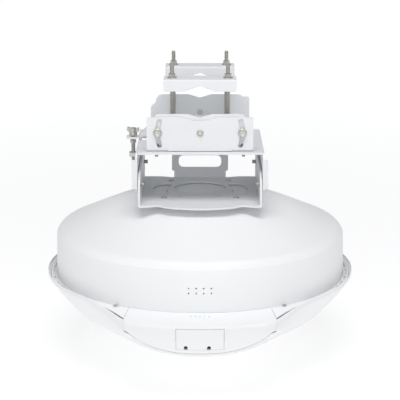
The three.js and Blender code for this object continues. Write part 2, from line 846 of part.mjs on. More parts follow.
// ---------------------------------------------------------------- base bracket
function basePlate() {
  const half = PLATE_HALF;
  const bulge = half - 40.7;
  const dip = -PLATE_NEAR - 5;
  const start = Math.sqrt(PLATE_BULGE ** 2 - bulge ** 2);
  const windowOuter = half - SHEET - WINDOW.rim;
  const windowR = (WINDOW.inner + windowOuter) / 2;
  const windowHalf = (windowOuter - WINDOW.inner) / 2;
  const shape = new THREE.Shape();
  shape.moveTo(half, PLATE_NEAR);
  shape.lineTo(half, PLATE_FAR + 2);
  shape.lineTo(64, PLATE_FAR + 2);
  shape.quadraticCurveTo(54, PLATE_FAR + 1, HANDLE_HALF + 1, PLATE_FAR - 4);
  shape.lineTo(HANDLE_HALF - 3.5, PLATE_FAR - 2);
  shape.lineTo(-HANDLE_HALF + 3.5, PLATE_FAR - 2);
  shape.lineTo(-HANDLE_HALF - 1, PLATE_FAR - 4);
  shape.quadraticCurveTo(-54, PLATE_FAR + 1, -64, PLATE_FAR + 2);
  shape.lineTo(-half, PLATE_FAR + 2);
  shape.lineTo(-half, PLATE_NEAR);
  shape.quadraticCurveTo(-half + 13.7, PLATE_NEAR, -half + 22.7, -dip);
  shape.quadraticCurveTo(-bulge - 11, -dip + 2, -bulge, -start);
  shape.absarc(
    0,
    0,
    PLATE_BULGE,
    Math.atan2(-start, -bulge),
    Math.atan2(-start, bulge),
    false,
  );
  shape.quadraticCurveTo(bulge + 11, -dip + 2, half - 22.7, -dip);
  shape.quadraticCurveTo(half - 13.7, PLATE_NEAR, half, PLATE_NEAR);
  shape.holes.push(
    circle(0, PLATE_HOLE_Y, PLATE_HOLE_R, 4),
    arcSlot(0, WINDOW.y, windowR, WINDOW.from, WINDOW.to, windowHalf),
    arcSlot(0, WINDOW.y, windowR, 180 - WINDOW.to, 180 - WINDOW.from, windowHalf),
    arcSlot(
      0,
      PLATE_HOLE_Y,
      PLATE_SLOT.r,
      270 - PLATE_SLOT.sweep,
      270 + PLATE_SLOT.sweep,
      PLATE_SLOT.half,
    ),
    ...bossScrews.map(([x, y]) => circle(x, y, M5 + HOLE_GAP)),
  );
  return sheetZ(shape, BOSS_Z);
}

const slotLength = LOCK_Y - PIVOT_Y;
function baseArm(side) {
  const shape = outline([
    [PLATE_NEAR, BOSS_Z],
    [PLATE_FAR - 3, BOSS_Z],
    [PLATE_FAR - 3, BOSS_Z + 12],
    [PLATE_FAR + 2, BOSS_Z + 15],
    [PLATE_FAR + 2, BOSS_Z + ARM_TOP, 8],
    [PIVOT_Y + 4, BOSS_Z + ARM_TOP - 4, 12],
    [PLATE_NEAR, BOSS_Z + 34, 12],
  ]);
  shape.holes.push(
    circle(PIVOT_Y, PIVOT_Z, M6 + HOLE_GAP),
    arcSlot(PIVOT_Y, PIVOT_Z, slotLength, -TILT - 0.2, TILT + 0.2, M6 + HOLE_GAP),
  );
  return sheetX(shape, side < 0 ? -PLATE_HALF : PLATE_HALF - SHEET);
}

function handle() {
  const shape = outline([
    [-HANDLE_HALF + 3.5, BOSS_Z],
    [HANDLE_HALF - 3.5, BOSS_Z],
    [HANDLE_HALF - 3.5, BOSS_Z + 13],
    [HANDLE_HALF, BOSS_Z + 14.5],
    [HANDLE_HALF, BOSS_Z + HANDLE_TOP, 12],
    [-HANDLE_HALF, BOSS_Z + HANDLE_TOP, 12],
    [-HANDLE_HALF, BOSS_Z + 14.5],
    [-HANDLE_HALF + 3.5, BOSS_Z + 13],
  ]);
  shape.holes.push(
    roundedBox(
      -HANDLE_HOLE.half,
      HANDLE_HOLE.half,
      BOSS_Z + HANDLE_HOLE.low,
      BOSS_Z + HANDLE_HOLE.high,
      8,
      THREE.Path,
    ),
  );
  return sheetY(shape, PLATE_FAR - 2 - SHEET);
}
add("base_bracket", join(basePlate(), baseArm(-1), baseArm(1), handle()), "painted");

bossScrews.forEach(([x, y], i) =>
  place(
    "base_screw_" + (i + 1),
    join(rodZ(4.6, 0, 0, 0, 1.4, 12), rodZ(M5, 0, 0, -SHEET - 9, 0.5, 8)),
    "steel",
    x,
    y,
    PLATE_TOP,
  ),
);

// ---------------------------------------------------------------- elevation yoke
// Cut away where the adjuster's lever dips through the yoke's left edge
const LEVER_HALF = 8;
const LEVER_NOTCH = { half: LEVER_HALF + 5, x: -CARRIER_HALF - 3.5, low: SWING_Z - 42 };
function yokeArm(side) {
  const low = PIVOT_Z - 10;
  const shape = outline([
    [YOKE_NEAR - 7, low, 6],
    [YOKE_FAR, low, 12],
    [YOKE_FAR, YOKE_TOP],
    [YOKE_NEAR, YOKE_TOP],
    [YOKE_NEAR - 7, YOKE_TOP - 8],
  ]);
  shape.holes.push(
    circle(PIVOT_Y, PIVOT_Z, M6 + HOLE_GAP),
    circle(LOCK_Y, PIVOT_Z, M6 + HOLE_GAP),
  );
  const x = side < 0 ? -YOKE_OUT : YOKE_IN;
  const flange = block(
    side < 0 ? -YOKE_OUT - 5 : YOKE_IN,
    side < 0 ? -YOKE_IN : YOKE_OUT + 5,
    YOKE_NEAR - 7,
    YOKE_NEAR - 7 + SHEET,
    low + 5,
    YOKE_TOP - 10,
  );
  return join(sheetX(shape, x), flange);
}
function yokeWeb() {
  const shape = outline([
    [-YOKE_OUT, YOKE_NEAR],
    [YOKE_OUT, YOKE_NEAR],
    [YOKE_OUT, YOKE_FAR, 4],
    [-YOKE_OUT, YOKE_FAR, 4],
  ]);
  shape.holes.push(
    ...[-1, 1].map((side) =>
      circle(side * CARRIER_SCREW.x, CARRIER_SCREW.y, M5 + HOLE_GAP),
    ),
  );
  return sheetZ(shape, YOKE_TOP - SHEET);
}
add(
  "elevation_yoke",
  cut(
    join(yokeWeb(), yokeArm(-1), yokeArm(1)),
    block(
      -YOKE_OUT - 1,
      LEVER_NOTCH.x,
      ADJUSTER.y - LEVER_NOTCH.half,
      ADJUSTER.y + LEVER_NOTCH.half,
      LEVER_NOTCH.low,
      YOKE_TOP + 1,
    ),
  ),
  "painted",
);

// A flanged hex bolt: the head's underside is at 0, the head points to +Z
function flangeBolt(shankLength, shank = M6, head = M6_HEAD, height = M6_HEAD_HEIGHT) {
  return join(
    rodZ(head, 0, 0, 0, 1.4, 12),
    rodZ(head * 0.85, 0, 0, 1, height, 6),
    rodZ(shank, 0, 0, -shankLength, 0.5, 8),
  );
}
const towardX = (side) => [0, (side * Math.PI) / 2, 0];
const sideBoltLength = YOKE_OUT + GAP - PLATE_HALF + SHEET + 6;
for (const side of [-1, 1]) {
  const word = side < 0 ? "left" : "right";
  const x = side * (YOKE_OUT + GAP);
  place("elevation_pivot_" + word, flangeBolt(sideBoltLength), "steel", x, PIVOT_Y,
    PIVOT_Z, towardX(side));
  place("elevation_lock_" + word, flangeBolt(sideBoltLength), "steel", x, LOCK_Y,
    PIVOT_Z, towardX(side));
}

// ---------------------------------------------------------------- azimuth carrier
const CARRIER_LOW = YOKE_TOP;
const CARRIER_TOP = CARRIER_LOW + CARRIER_HEIGHT;
function carrierWall(y, shoulder, slotted) {
  const shape = outline([
    [-CARRIER_HALF, CARRIER_LOW + 2.6],
    [-CARRIER_PRESSED, CARRIER_LOW + 2.6],
    [-CARRIER_PRESSED, CARRIER_LOW],
    [CARRIER_PRESSED, CARRIER_LOW],
    [CARRIER_PRESSED, CARRIER_LOW + 2.6],
    [CARRIER_HALF, CARRIER_LOW + 2.6],
    [CARRIER_HALF, CARRIER_TOP, 4],
    [26, CARRIER_TOP, 6],
    [12, CARRIER_TOP - 5, 6],
    [-12, CARRIER_TOP - 5, 6],
    [-26, CARRIER_TOP, 6],
    [-CARRIER_HALF + shoulder, CARRIER_TOP, 4],
    ...(shoulder
      ? [
          [-CARRIER_HALF + shoulder - 1, CARRIER_TOP - shoulder, 3],
          [-CARRIER_HALF, CARRIER_TOP - 1.7 * shoulder, 4],
        ]
      : []),
  ]);
  shape.holes.push(circle(0, SWING_Z, RIVET_R + HOLE_GAP));
  if (slotted)
    for (const middle of [0, 180])
      shape.holes.push(
        arcSlot(
          0,
          SWING_Z,
          SLOT_R,
          middle - SLOT_SWEEP,
          middle + SLOT_SWEEP,
          M6 + 0.6,
        ),
      );
  return sheetY(shape, y);
}
function carrierWeb() {
  const shape = roundedBox(-CARRIER_HALF, CARRIER_HALF, -CARRIER_IN, CARRIER_IN, 2);
  const under = roundedBox(-CARRIER_PRESSED, CARRIER_PRESSED, -CARRIER_Y, CARRIER_Y, 0.5);
  shape.holes.push(
    ...[-1, 1].map((side) =>
      circle(side * CARRIER_SCREW.x, CARRIER_SCREW.y, M5 + HOLE_GAP),
    ),
  );
  return join(sheetZ(shape, CARRIER_LOW), sheetZ(under, CARRIER_LOW));
}
add(
  "azimuth_carrier",
  join(carrierWeb(), carrierWall(-CARRIER_Y, 0, true), carrierWall(CARRIER_IN, 9, false)),
  "painted",
);
for (const side of [-1, 1])
  place(
    "carrier_screw_" + (side < 0 ? "left" : "right"),
    flangeBolt(2 * SHEET + 10, M5, 4.6, 3),
    "steel",
    side * CARRIER_SCREW.x,
    CARRIER_SCREW.y,
    CARRIER_LOW + SHEET,
  );

// ---------------------------------------------------------------- pole channel
const notched = (half, low, top, notch, radius) =>
  outline([
    [-half, low],
    [half, low],
    [half, top, radius],
    [notch.half, top],
    [0, top - notch.depth],
    [-notch.half, top],
    [-half, top, radius],
  ]);
function channelWall(y, bolted) {
  const shape = notched(CHANNEL_HALF, CHANNEL_FLOOR_Z, LIP_TOP, POLE_NOTCH, 9);
  shape.holes.push(circle(0, SWING_Z, RIVET_R + HOLE_GAP));
  if (bolted)
    shape.holes.push(
      circle(SLOT_R, SWING_Z, M6 + HOLE_GAP),
      circle(-SLOT_R, SWING_Z, M6 + HOLE_GAP),
    );
  return sheetY(shape, y);
}
function channelWeb() {
  const shape = roundedBox(
    -CHANNEL_HALF + 10,
    CHANNEL_HALF - 10,
    -CHANNEL_Y,
    CHANNEL_Y,
    0.5,
  );
  for (const x of [-CLAMP_X, CLAMP_X])
    for (const y of [-CLAMP_Y, CLAMP_Y])
      shape.holes.push(circle(x, y, M6 + HOLE_GAP));
  return sheetZ(shape, CHANNEL_FLOOR_Z);
}
add(
  "pole_channel",
  join(
    channelWeb(),
    channelWall(-CHANNEL_Y, true),
    channelWall(CHANNEL_Y - SHEET, false),
  ),
  "painted",
);

// Pivot rivets pass through both pairs of walls, and the slot bolts through the near pair
const pinLength = SHEET + GAP + SHEET + GAP;
for (const [word, facing] of [["near", -1], ["far", 1]]) {
  const y = facing * (CARRIER_Y + GAP);
  const turn = [(-facing * Math.PI) / 2, 0, 0];
  place(
    "azimuth_rivet_" + word,
    join(
      rodZ(RIVET_R + 0.8, 0, 0, 0, 1.6, 16),
      rodZ(RIVET_R, 0, 0, -pinLength, 0.5, 12),
    ),
    "steel",
    0,
    y,
    SWING_Z,
    turn,
  );
}
for (const side of [-1, 1])
  place(
    "azimuth_lock_" + (side < 0 ? "left" : "right"),
    flangeBolt(pinLength + 5),
    "steel",
    side * SLOT_R,
    -CARRIER_Y - GAP,
    SWING_Z,
    [Math.PI / 2, 0, 0],
  );

// ---------------------------------------------------------------- pole clamps
const CLAMP_ROOM = HOLE_GAP + 0.3;
for (const [word, [y0, y1]] of [["near", JAW_NEAR], ["far", JAW_FAR]]) {
  const cheek = notched(JAW_HALF, -JAW_TOP, -JAW_LOW, JAW_NOTCH, 1.5);
  const wall = (y) =>
    solidOf(
      extruded(cheek, SHEET)
        .scale(1, -1, -1)
        .rotateX(Math.PI / 2)
        .translate(0, y, 0),
    );
  const top = roundedBox(-JAW_HALF, JAW_HALF, y0, y1, 2);
  const boltY = Math.sign(y0) * CLAMP_Y;
  for (const x of [-CLAMP_X, CLAMP_X])
    top.holes.push(circle(x, boltY, M6 + CLAMP_ROOM));
  add(
    "pole_clamp_" + word,
    join(sheetZ(top, JAW_TOP - SHEET), wall(y0), wall(y1 - SHEET)),
    "painted",
  );
  for (const side of [-1, 1]) {
    const name = word + (side < 0 ? "_left" : "_right");
    place(
      "clamp_nut_" + name,
      cut(
        join(rodZ(7.2, 0, 0, 0, 1.4, 12), rodZ(5.6, 0, 0, 1, 6, 6)),
        rodZ(M6 + HOLE_GAP, 0, 0, -1, 7, 8),
      ),
      "steel",
      side * CLAMP_X,
      boltY,
      JAW_TOP,
    );
    const length = JAW_TOP + CLAMP_TIP - CHANNEL_FLOOR_Z;
    place(
      "clamp_bolt_" + name,
      join(rodZ(6, 0, 0, -3.6, 0, 6), rodZ(M6, 0, 0, -0.5, length, 8)),
      "steel",
      side * CLAMP_X,
      boltY,
      CHANNEL_FLOOR_Z,
    );
  }
}
place(
  "clamp_stop_nut",
  cut(
    join(rodZ(7.2, 0, 0, -1.4, 0, 12), rodZ(5.6, 0, 0, -6, -1, 6)),
    rodZ(M6 + HOLE_GAP, 0, 0, -8, 1, 8),
  ),
  "steel",
  -CLAMP_X,
  -CLAMP_Y,
  JAW_TOP - SHEET,
);

// ---------------------------------------------------------------- fine adjuster
const FORK_Z = SWING_Z - FORK_DROP;
function lever() {
  const top = CHANNEL_FLOOR_Z;
  const x = ADJUSTER.x;
  const side = outline([
    [-CHANNEL_HALF + 16, top],
    [-CHANNEL_HALF + 16, top - SHEET],
    [-CARRIER_HALF - 2, top - SHEET],
    [x + 12, top - 13],
    [x + 5.5, FORK_Z],
    [x - 10, FORK_Z],
    [x - 10, FORK_Z + SHEET],
    [x + 8, FORK_Z + SHEET],
    [x + 13.5, top - 9.5],
    [-CARRIER_HALF, top],
  ]);
  const strip = sheetY(side, ADJUSTER.y - LEVER_HALF, 2 * LEVER_HALF);
  const slot = block(
    x - 12,
    x + 1,
    ADJUSTER.y - M6 - 0.7,
    ADJUSTER.y + M6 + 0.7,
    FORK_Z - 1,
    FORK_Z + SHEET + 1,
  );
  const slotEnd = rodZ(M6 + 0.7, x + 1, ADJUSTER.y, FORK_Z - 1, FORK_Z + SHEET + 1, 12);
  return cut(strip, slot, slotEnd);
}
add("adjuster_lever", lever(), "painted");

const SWIVEL_Z = SWING_Z + SWIVEL_LOW;
add(
  "adjuster_swivel",
  cut(
    block(
      ADJUSTER.x - 6,
      -YOKE_OUT - GAP,
      ADJUSTER.y - 6,
      ADJUSTER.y + 6,
      SWIVEL_Z,
      SWIVEL_Z + SWIVEL_HEIGHT,
    ),
    rodZ(
      M6 + HOLE_GAP,
      ADJUSTER.x,
      ADJUSTER.y,
      SWIVEL_Z - 1,
      SWIVEL_Z + SWIVEL_HEIGHT + 1,
      8,
    ),
  ),
  "tin",
);
const HEX_TOP = FORK_Z - FORK_GAP;
const COLLAR_LOW = FORK_Z + SHEET + FORK_GAP;
const KNOB_LOW = COLLAR_LOW + 2 + GAP;
add(
  "adjuster_screw",
  join(
    rodZ(M6, ADJUSTER.x, ADJUSTER.y, SWIVEL_Z - 6, KNOB_LOW + 8, 8),
    rodZ(5, ADJUSTER.x, ADJUSTER.y, HEX_TOP - 4.5, HEX_TOP, 6),
    rodZ(6.2, ADJUSTER.x, ADJUSTER.y, COLLAR_LOW, COLLAR_LOW + 2, 12),
  ),
  "steel",
);
const wing = (side) =>
  sheetY(
    outline([
      [side * 3, 2.5, 0],
      [side * 8.5, 2.5, 2],
      [side * 9.8, 6, 2],
      [side * 9, 10, 1.5],
      [side * 6.5, 9, 1.5],
      [side * 3, 7.5, 0],
    ]),
    -1.5,
  );
place(
  "adjuster_knob",
  cut(
    join(
      rodZ(6.2, 0, 0, 0, 2.5, 12),
      rodZ(5, 0, 0, 2, 8.5, 12),
      wing(-1),
      wing(1),
    ),
    rodZ(M6 + HOLE_GAP, 0, 0, -1, 10, 8),
  ),
  "steel",
  ADJUSTER.x,
  ADJUSTER.y,
  KNOB_LOW,
  [0, 0, -0.35],
);

export default bridge;
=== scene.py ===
"""Looks of an outdoor wireless bridge: smooth mouldings, softened steel sheet, real fasteners."""

import functools
import json
import math

import bmesh
import bpy
from mathutils import Matrix, Vector


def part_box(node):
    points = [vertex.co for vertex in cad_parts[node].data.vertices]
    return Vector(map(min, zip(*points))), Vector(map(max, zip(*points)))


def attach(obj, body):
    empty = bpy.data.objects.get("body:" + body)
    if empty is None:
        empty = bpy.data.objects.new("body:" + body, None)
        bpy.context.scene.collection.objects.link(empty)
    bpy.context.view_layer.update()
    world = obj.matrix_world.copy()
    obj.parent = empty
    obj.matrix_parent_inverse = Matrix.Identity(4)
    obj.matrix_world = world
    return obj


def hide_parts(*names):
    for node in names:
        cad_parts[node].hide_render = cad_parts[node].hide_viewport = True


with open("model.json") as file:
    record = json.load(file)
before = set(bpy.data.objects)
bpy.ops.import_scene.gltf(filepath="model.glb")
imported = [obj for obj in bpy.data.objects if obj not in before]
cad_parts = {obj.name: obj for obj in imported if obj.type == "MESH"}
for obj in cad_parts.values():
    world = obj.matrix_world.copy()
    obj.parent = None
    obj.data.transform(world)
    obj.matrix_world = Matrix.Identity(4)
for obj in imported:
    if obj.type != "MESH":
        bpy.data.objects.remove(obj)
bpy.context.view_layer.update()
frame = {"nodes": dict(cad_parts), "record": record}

MM = 0.001
X, Y, Z = Vector((1, 0, 0)), Vector((0, 1, 0)), Vector((0, 0, 1))


# ------------------------------------------------------------------ camera
VIEW_DROP = math.radians(14.24)  # the view looks down by this much
camera = bpy.data.objects.new("camera", bpy.data.cameras.new("camera"))
bpy.context.scene.collection.objects.link(camera)
camera.location = (0, -2.045, 0.749)
camera.rotation_euler = (math.pi / 2 - VIEW_DROP, 0, 0)
camera.data.lens = 126
camera.data.sensor_width = 36
bpy.context.scene.camera = camera


# ------------------------------------------------------------------ sizes, in millimetres
def node_box(node):
    low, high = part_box(node)
    return low / MM, high / MM


RADOME_HIGH = node_box("front_radome")[1]
RIM_R = RADOME_HIGH.x
LIP_Z = RADOME_HIGH.z
RIM_LIP = 4.4  # the lip above the widest line
BOWL_DEPTH = LIP_Z - RIM_LIP
FOOT_R = 33  # the flat foot of the front cover
COVER_WALL = 3
CHIN_R = -node_box("chin_housing")[0].y
CHIN_REACH = CHIN_R - RIM_R
CHIN_DROP = 10  # the chin's fold lies this much below the lip
FOLD_Z = LIP_Z - CHIN_DROP
CHIN_CORNER, CHIN_FLARE = 22.5, 45  # degrees from -Y
CHIN_HALF = 106.5  # half the chin's width at its fold
CREASE_MIDDLE = (23, 48.5)  # the chin's lower edge: back from its fold, and below it
CREASE_CORNER = (4, 20)
SEAM = 0.5
BOSS_Z = node_box("rear_housing")[1].z
BOSS_R = 84
BOSS_GAP = 0.9  # shadow gap under the bracket's plate
DRUM_INSET = 13.5
DRUM_R = RIM_R - DRUM_INSET
DRUM_EDGE = 16
DRUM_HEIGHT = 66
DRUM_SHOULDER = BOWL_DEPTH + DRUM_HEIGHT
BEZEL_LOW = node_box("rim_gasket")[1].z
BEZEL_HEIGHT = 2
BEZEL_TOP = BEZEL_LOW + BEZEL_HEIGHT
PORT_HALF = 33
PORT_BELOW = 3.5
PORT_HEIGHT = 36
PORT_TOP = FOLD_Z - PORT_BELOW
PORT_BOTTOM = PORT_TOP - PORT_HEIGHT
PORT_GAP = 0.4  # round the port cover
BOWL_CENTRE = (RIM_R**2 - FOOT_R**2 + BOWL_DEPTH**2) / (2 * BOWL_DEPTH)
BOWL_R = math.hypot(FOOT_R, BOWL_CENTRE)


# ------------------------------------------------------------------ shader writing
class Value:
    """A socket that adds Math nodes when it is used in an expression."""

    def __init__(self, shader, socket):
        self.shader = shader
        self.socket = socket

    def _math(self, operation, *values):
        return self.shader.add("ShaderNodeMath", {"operation": operation}, dict(enumerate(values)))

    def __add__(self, other):
        return self._math("ADD", self, other)

    def __mul__(self, other):
        return self._math("MULTIPLY", self, other)

    __radd__ = __add__
    __rmul__ = __mul__


class Shader:
    """One material's node tree, with a Principled shader ready to be fed."""

    def __init__(self, name):
        self.material = bpy.data.materials.new(name)
        self.material.use_nodes = True
        self.tree = self.material.node_tree
        self.principled = self.tree.nodes["Principled BSDF"]
        self.place = self.add("ShaderNodeTexCoord", output="Object")

    def add(self, kind, settings=None, inputs=None, output=0):
        node = self.tree.nodes.new(kind)
        for key, value in (settings or {}).items():
            setattr(node, key, value)
        for key, value in (inputs or {}).items():
            self.feed(node.inputs[key], value)
        return Value(self, node.outputs[output])

    def feed(self, socket, value):
        if isinstance(value, Value):
            self.tree.links.new(value.socket, socket)
        else:
            socket.default_value = value

    def set(self, **inputs):
        for key, value in inputs.items():
            self.feed(self.principled.inputs[key.replace("_", " ")], value)

    def stretched(self, scale):
        return self.add("ShaderNodeMapping", {}, {"Vector": self.place, "Scale": scale})

    def noise(self, scale, detail=3.0, roughness=0.5, where=None):
        inputs = {"Scale": scale, "Detail": detail, "Roughness": roughness}
        return self.add("ShaderNodeTexNoise", {}, {"Vector": where or self.place, **inputs})

    def ramp(self, value, low, high):
        """Rises smoothly from 0 to 1 as the value goes from low to high."""
        inputs = {"Value": value, "From Min": low, "From Max": high}
        return self.add("ShaderNodeMapRange", {"interpolation_type": "SMOOTHSTEP"}, inputs)

    def mix(self, factor, one, other):
        inputs = {0: factor, 6: one, 7: other}
        return self.add("ShaderNodeMix", {"data_type": "RGBA"}, inputs, output=2)

    def bump(self, height, distance, strength=1.0, under=None):
        inputs = {"Height": height, "Distance": distance, "Strength": strength}
        if under:
            inputs["Normal"] = under
        return self.add("ShaderNodeBump", {}, inputs)


def moulded_white():
    """Satin white weatherproof plastic with a fine spark-eroded grain and faint flow marks."""
    s = Shader("moulded_white")
    cloud = s.noise(9.0, 4.0)
    speck = s.ramp(s.noise(420.0, 2.0, 0.6), 0.66, 0.76)
    grain = s.noise(1400.0, 2.0, 0.6)
    orange = s.noise(140.0, 2.0)
    clean = s.mix(cloud, (0.855, 0.865, 0.875, 1), (0.885, 0.89, 0.895, 1))
    s.set(Base_Color=s.mix(speck * 0.10, clean, (0.62, 0.61, 0.58, 1)))
    s.set(Roughness=0.36 + 0.10 * cloud + 0.06 * grain)
    fine = s.bump(grain, 0.00006, 0.5)
    s.set(Normal=s.bump(orange, 0.00008, 0.35, under=fine))
    s.set(Specular_IOR_Level=0.45)
    return s.material


def powder_coat():
    """Off-white powder coat on steel sheet: orange peel, and a dusty matt bloom."""
    s = Shader("powder_coat")
    peel = s.noise(520.0, 3.0, 0.55)
    cloud = s.noise(14.0, 5.0, 0.6)
    dust = s.ramp(s.noise(60.0, 4.0, 0.65), 0.52, 0.8)
    paint = s.mix(cloud, (0.74, 0.75, 0.765, 1), (0.79, 0.80, 0.81, 1))
    s.set(Base_Color=s.mix(dust * 0.16, paint, (0.60, 0.59, 0.56, 1)))
    s.set(Roughness=0.38 + 0.14 * cloud + 0.08 * dust)
    s.set(Normal=s.bump(peel, 0.00018, 0.5))
    s.set(Coat_Roughness=0.3)
    return s.material


def plain_steel():
    """Stainless fasteners: drawn grain, dull handling marks and a few brighter rubs."""
    s = Shader("plain_steel")
    grain = s.noise(900.0, 3.0, 0.6, s.stretched((1, 1, 0.12)))
    stain = s.noise(160.0, 4.0, 0.6)
    rub = s.ramp(s.noise(420.0, 2.0), 0.55, 0.72)
    dull = s.mix(stain, (0.49, 0.48, 0.45, 1), (0.63, 0.62, 0.58, 1))
    s.set(Base_Color=s.mix(rub * 0.4, dull, (0.74, 0.73, 0.70, 1)))
    s.set(Metallic=1.0, Roughness=0.30 + 0.16 * stain + 0.08 * grain)
    s.set(Normal=s.bump(grain, 0.00006, 0.6))
    return s.material


def bright_tin():
    """Plated sheet metal of the sockets, the shield and the swivel."""
    s = Shader("bright_tin")
    rolled = s.noise(700.0, 2.0, 0.5, s.stretched((1, 0.08, 1)))
    cloud = s.noise(90.0, 4.0)
    s.set(Base_Color=s.mix(cloud, (0.50, 0.51, 0.53, 1), (0.64, 0.65, 0.66, 1)))
    s.set(Metallic=1.0, Roughness=0.24 + 0.14 * rolled + 0.08 * cloud)
    s.set(Normal=s.bump(rolled, 0.00004, 0.5))
    return s.material


def spun_aluminium():
    """Spun reflector and its feed tube: fine rings about the dish axis."""
    s = Shader("spun_aluminium")
    rings = s.add(
        "ShaderNodeTexWave",
        {"wave_type": "RINGS", "rings_direction": "Z"},
        {"Vector": s.place, "Scale": 260.0, "Distortion": 1.2, "Detail": 2.0},
        output="Fac",
    )
    cloud = s.noise(12.0, 4.0)
    s.set(Base_Color=s.mix(cloud, (0.58, 0.59, 0.61, 1), (0.68, 0.69, 0.70, 1)))
    s.set(Metallic=1.0, Roughness=0.28 + 0.1 * rings + 0.08 * cloud)
    s.set(Normal=s.bump(rings, 0.00004, 0.5))
    return s.material


def circuit_board():
    """Green solder mask over copper tracks."""
    s = Shader("circuit_board")
    tracks = s.add(
        "ShaderNodeTexBrick",
        {"offset": 0.5},
        {"Vector": s.place, "Scale": 120.0, "Mortar Size": 0.03, "Brick Width": 0.9},
        output="Fac",
    )
    cloud = s.noise(70.0, 3.0)
    mask = s.mix(cloud, (0.012, 0.11, 0.05, 1), (0.02, 0.16, 0.075, 1))
    s.set(Base_Color=s.mix(tracks * 0.7, mask, (0.06, 0.27, 0.13, 1)))
    s.set(Roughness=0.30 + 0.12 * cloud)
    s.set(Normal=s.bump(tracks, 0.00006, 0.6))
    return s.material


def seal_rubber():
    """Matt black seal, bloomed grey in patches."""
    s = Shader("seal_rubber")
    bloom = s.noise(60.0, 5.0, 0.6)
    pores = s.noise(900.0, 2.0)
    s.set(Base_Color=s.mix(bloom, (0.018, 0.018, 0.02, 1), (0.05, 0.05, 0.05, 1)))
    s.set(Roughness=0.72 + 0.16 * bloom)
    s.set(Normal=s.bump(pores, 0.00012, 0.6))
    return s.material


def black_plastic():
    """Fine-grained black plastic."""
    s = Shader("black_plastic")
    grain = s.noise(800.0, 2.0)
    cloud = s.noise(50.0, 3.0)
    s.set(Base_Color=s.mix(cloud, (0.012, 0.012, 0.013, 1), (0.03, 0.03, 0.032, 1)))
    s.set(Roughness=0.42 + 0.12 * cloud)
    s.set(Normal=s.bump(grain, 0.00008, 0.5))
    return s.material


def light_window():
    """Frosted light windows with a faint blue body."""
    s = Shader("light_window")
    frost = s.noise(1200.0, 2.0)
    s.set(Base_Color=s.mix(frost, (0.60, 0.71, 0.82, 1), (0.72, 0.80, 0.88, 1)))
    s.set(Roughness=0.18 + 0.12 * frost, Coat_Weight=0.4)
    s.set(Normal=s.bump(frost, 0.00004, 0.4))
    return s.material


FINISHES = {
    "moulding": moulded_white(),
    "painted": powder_coat(),
    "steel": plain_steel(),
    "tin": bright_tin(),
    "aluminium": spun_aluminium(),
    "board": circuit_board(),
    "rubber": seal_rubber(),
    "black": black_plastic(),
    "light": light_window(),
}
SLOT_OF = {part["node"]: part["material_slot"] for part in frame["record"]["subparts"]}
BODY_OF = {
    node: body
    for body, nodes in frame["record"]["behaviour"]["bodies"].items()
    for node in nodes
}
for node, shown in frame["nodes"].items():
    shown.data.materials.clear()
    shown.data.materials.append(FINISHES[SLOT_OF[node]])


# ------------------------------------------------------------------ making pieces
def soften(mesh, angle=35):
    """Smooth faces, with every edge sharper than the angle kept crisp."""
    mesh.polygons.foreach_set("use_smooth", [True] * len(mesh.polygons))
    mesh.set_sharp_from_angle(angle=math.radians(angle))


def linked(name, bm):
    """An object in the scene that holds a bmesh."""
    mesh = bpy.data.meshes.new(name)
    bm.to_mesh(mesh)
    bm.free()
    made = bpy.data.objects.new(name, mesh)
    bpy.context.scene.collection.objects.link(made)
    return made


def piece(name, bm, node, angle=35, slot=None):
    """Turns a bmesh in metres into an object that stands for a CAD node."""
    made = linked(name, bm)
    soften(made.data, angle)
    slot = slot or SLOT_OF[node]
    made.data.materials.append(FINISHES[slot])
    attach(made, BODY_OF[node])
    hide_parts(node)
    return made


def thicken(made, wall, edge):
    """Gives a skin its wall, inwards, and rounds the wall's edges."""
    solid = made.modifiers.new("wall", "SOLIDIFY")
    solid.thickness = wall * MM
    solid.offset = -1
    solid.thickness_clamp = 1
    round_edges(made, edge)


def round_edges(made, edge):
    bevel = made.modifiers.new("edges", "BEVEL")
    bevel.width = edge * MM
    bevel.segments = 2
    bevel.limit_method = "ANGLE"
    bevel.angle_limit = math.radians(50)
    bevel.harden_normals = True


def blend(a, b, t):
    return a + (b - a) * t


def blend_point(a, b, t):
    return (blend(a[0], b[0], t), blend(a[1], b[1], t))


def smooth_line(points, corners, steps):
    """A curve through the points, with the same number of steps in each span, and true corners."""
    line = [points[0]]
    for i in range(len(points) - 1):
        before = points[i] if i == 0 or i in corners else points[i - 1]
        last = i + 2 > len(points) - 1 or i + 1 in corners
        after = points[i + 1] if last else points[i + 2]
        for step in range(1, steps + 1):
            t = step / steps
            line.append(
                tuple(
                    0.5
                    * (
                        2 * p1
                        + (p2 - p0) * t
                        + (2 * p0 - 5 * p1 + 4 * p2 - p3) * t * t
                        + (3 * p1 - p0 - 3 * p2 + p3) * t**3
                    )
                    for p0, p1, p2, p3 in zip(before, points[i], points[i + 1], after)
                )
            )
    return line


# ------------------------------------------------------------------ the dish's outline
def sharp_reach(degrees):
    """How far the rim has reached out from the round towards the chin, from 0 to 1."""
    if degrees <= CHIN_CORNER:
        return 1
    if degrees >= CHIN_FLARE:
        return 0
    a, b, d = (math.radians(v) for v in (CHIN_CORNER, CHIN_FLARE, degrees))
    corner = Vector((CHIN_R * math.sin(a), CHIN_R * math.cos(a)))
    side = Vector((RIM_R * math.sin(b), RIM_R * math.cos(b))) - corner
    ray = Vector((math.sin(d), math.cos(d)))
    return (corner.cross(side) / ray.cross(side) - RIM_R) / CHIN_REACH


def reach(degrees):
    soft = (-3, -1.5, 0, 1.5, 3)
    return sum(sharp_reach(abs(degrees + d)) for d in soft) / len(soft)


def bowl_z(r):
    return BOWL_CENTRE - math.sqrt(BOWL_R**2 - r * r)


BOWL_STATIONS = (0.2, 0.315, 0.47, 0.63, 0.785, 0.87, 0.93, 0.975)  # of the rim's radius


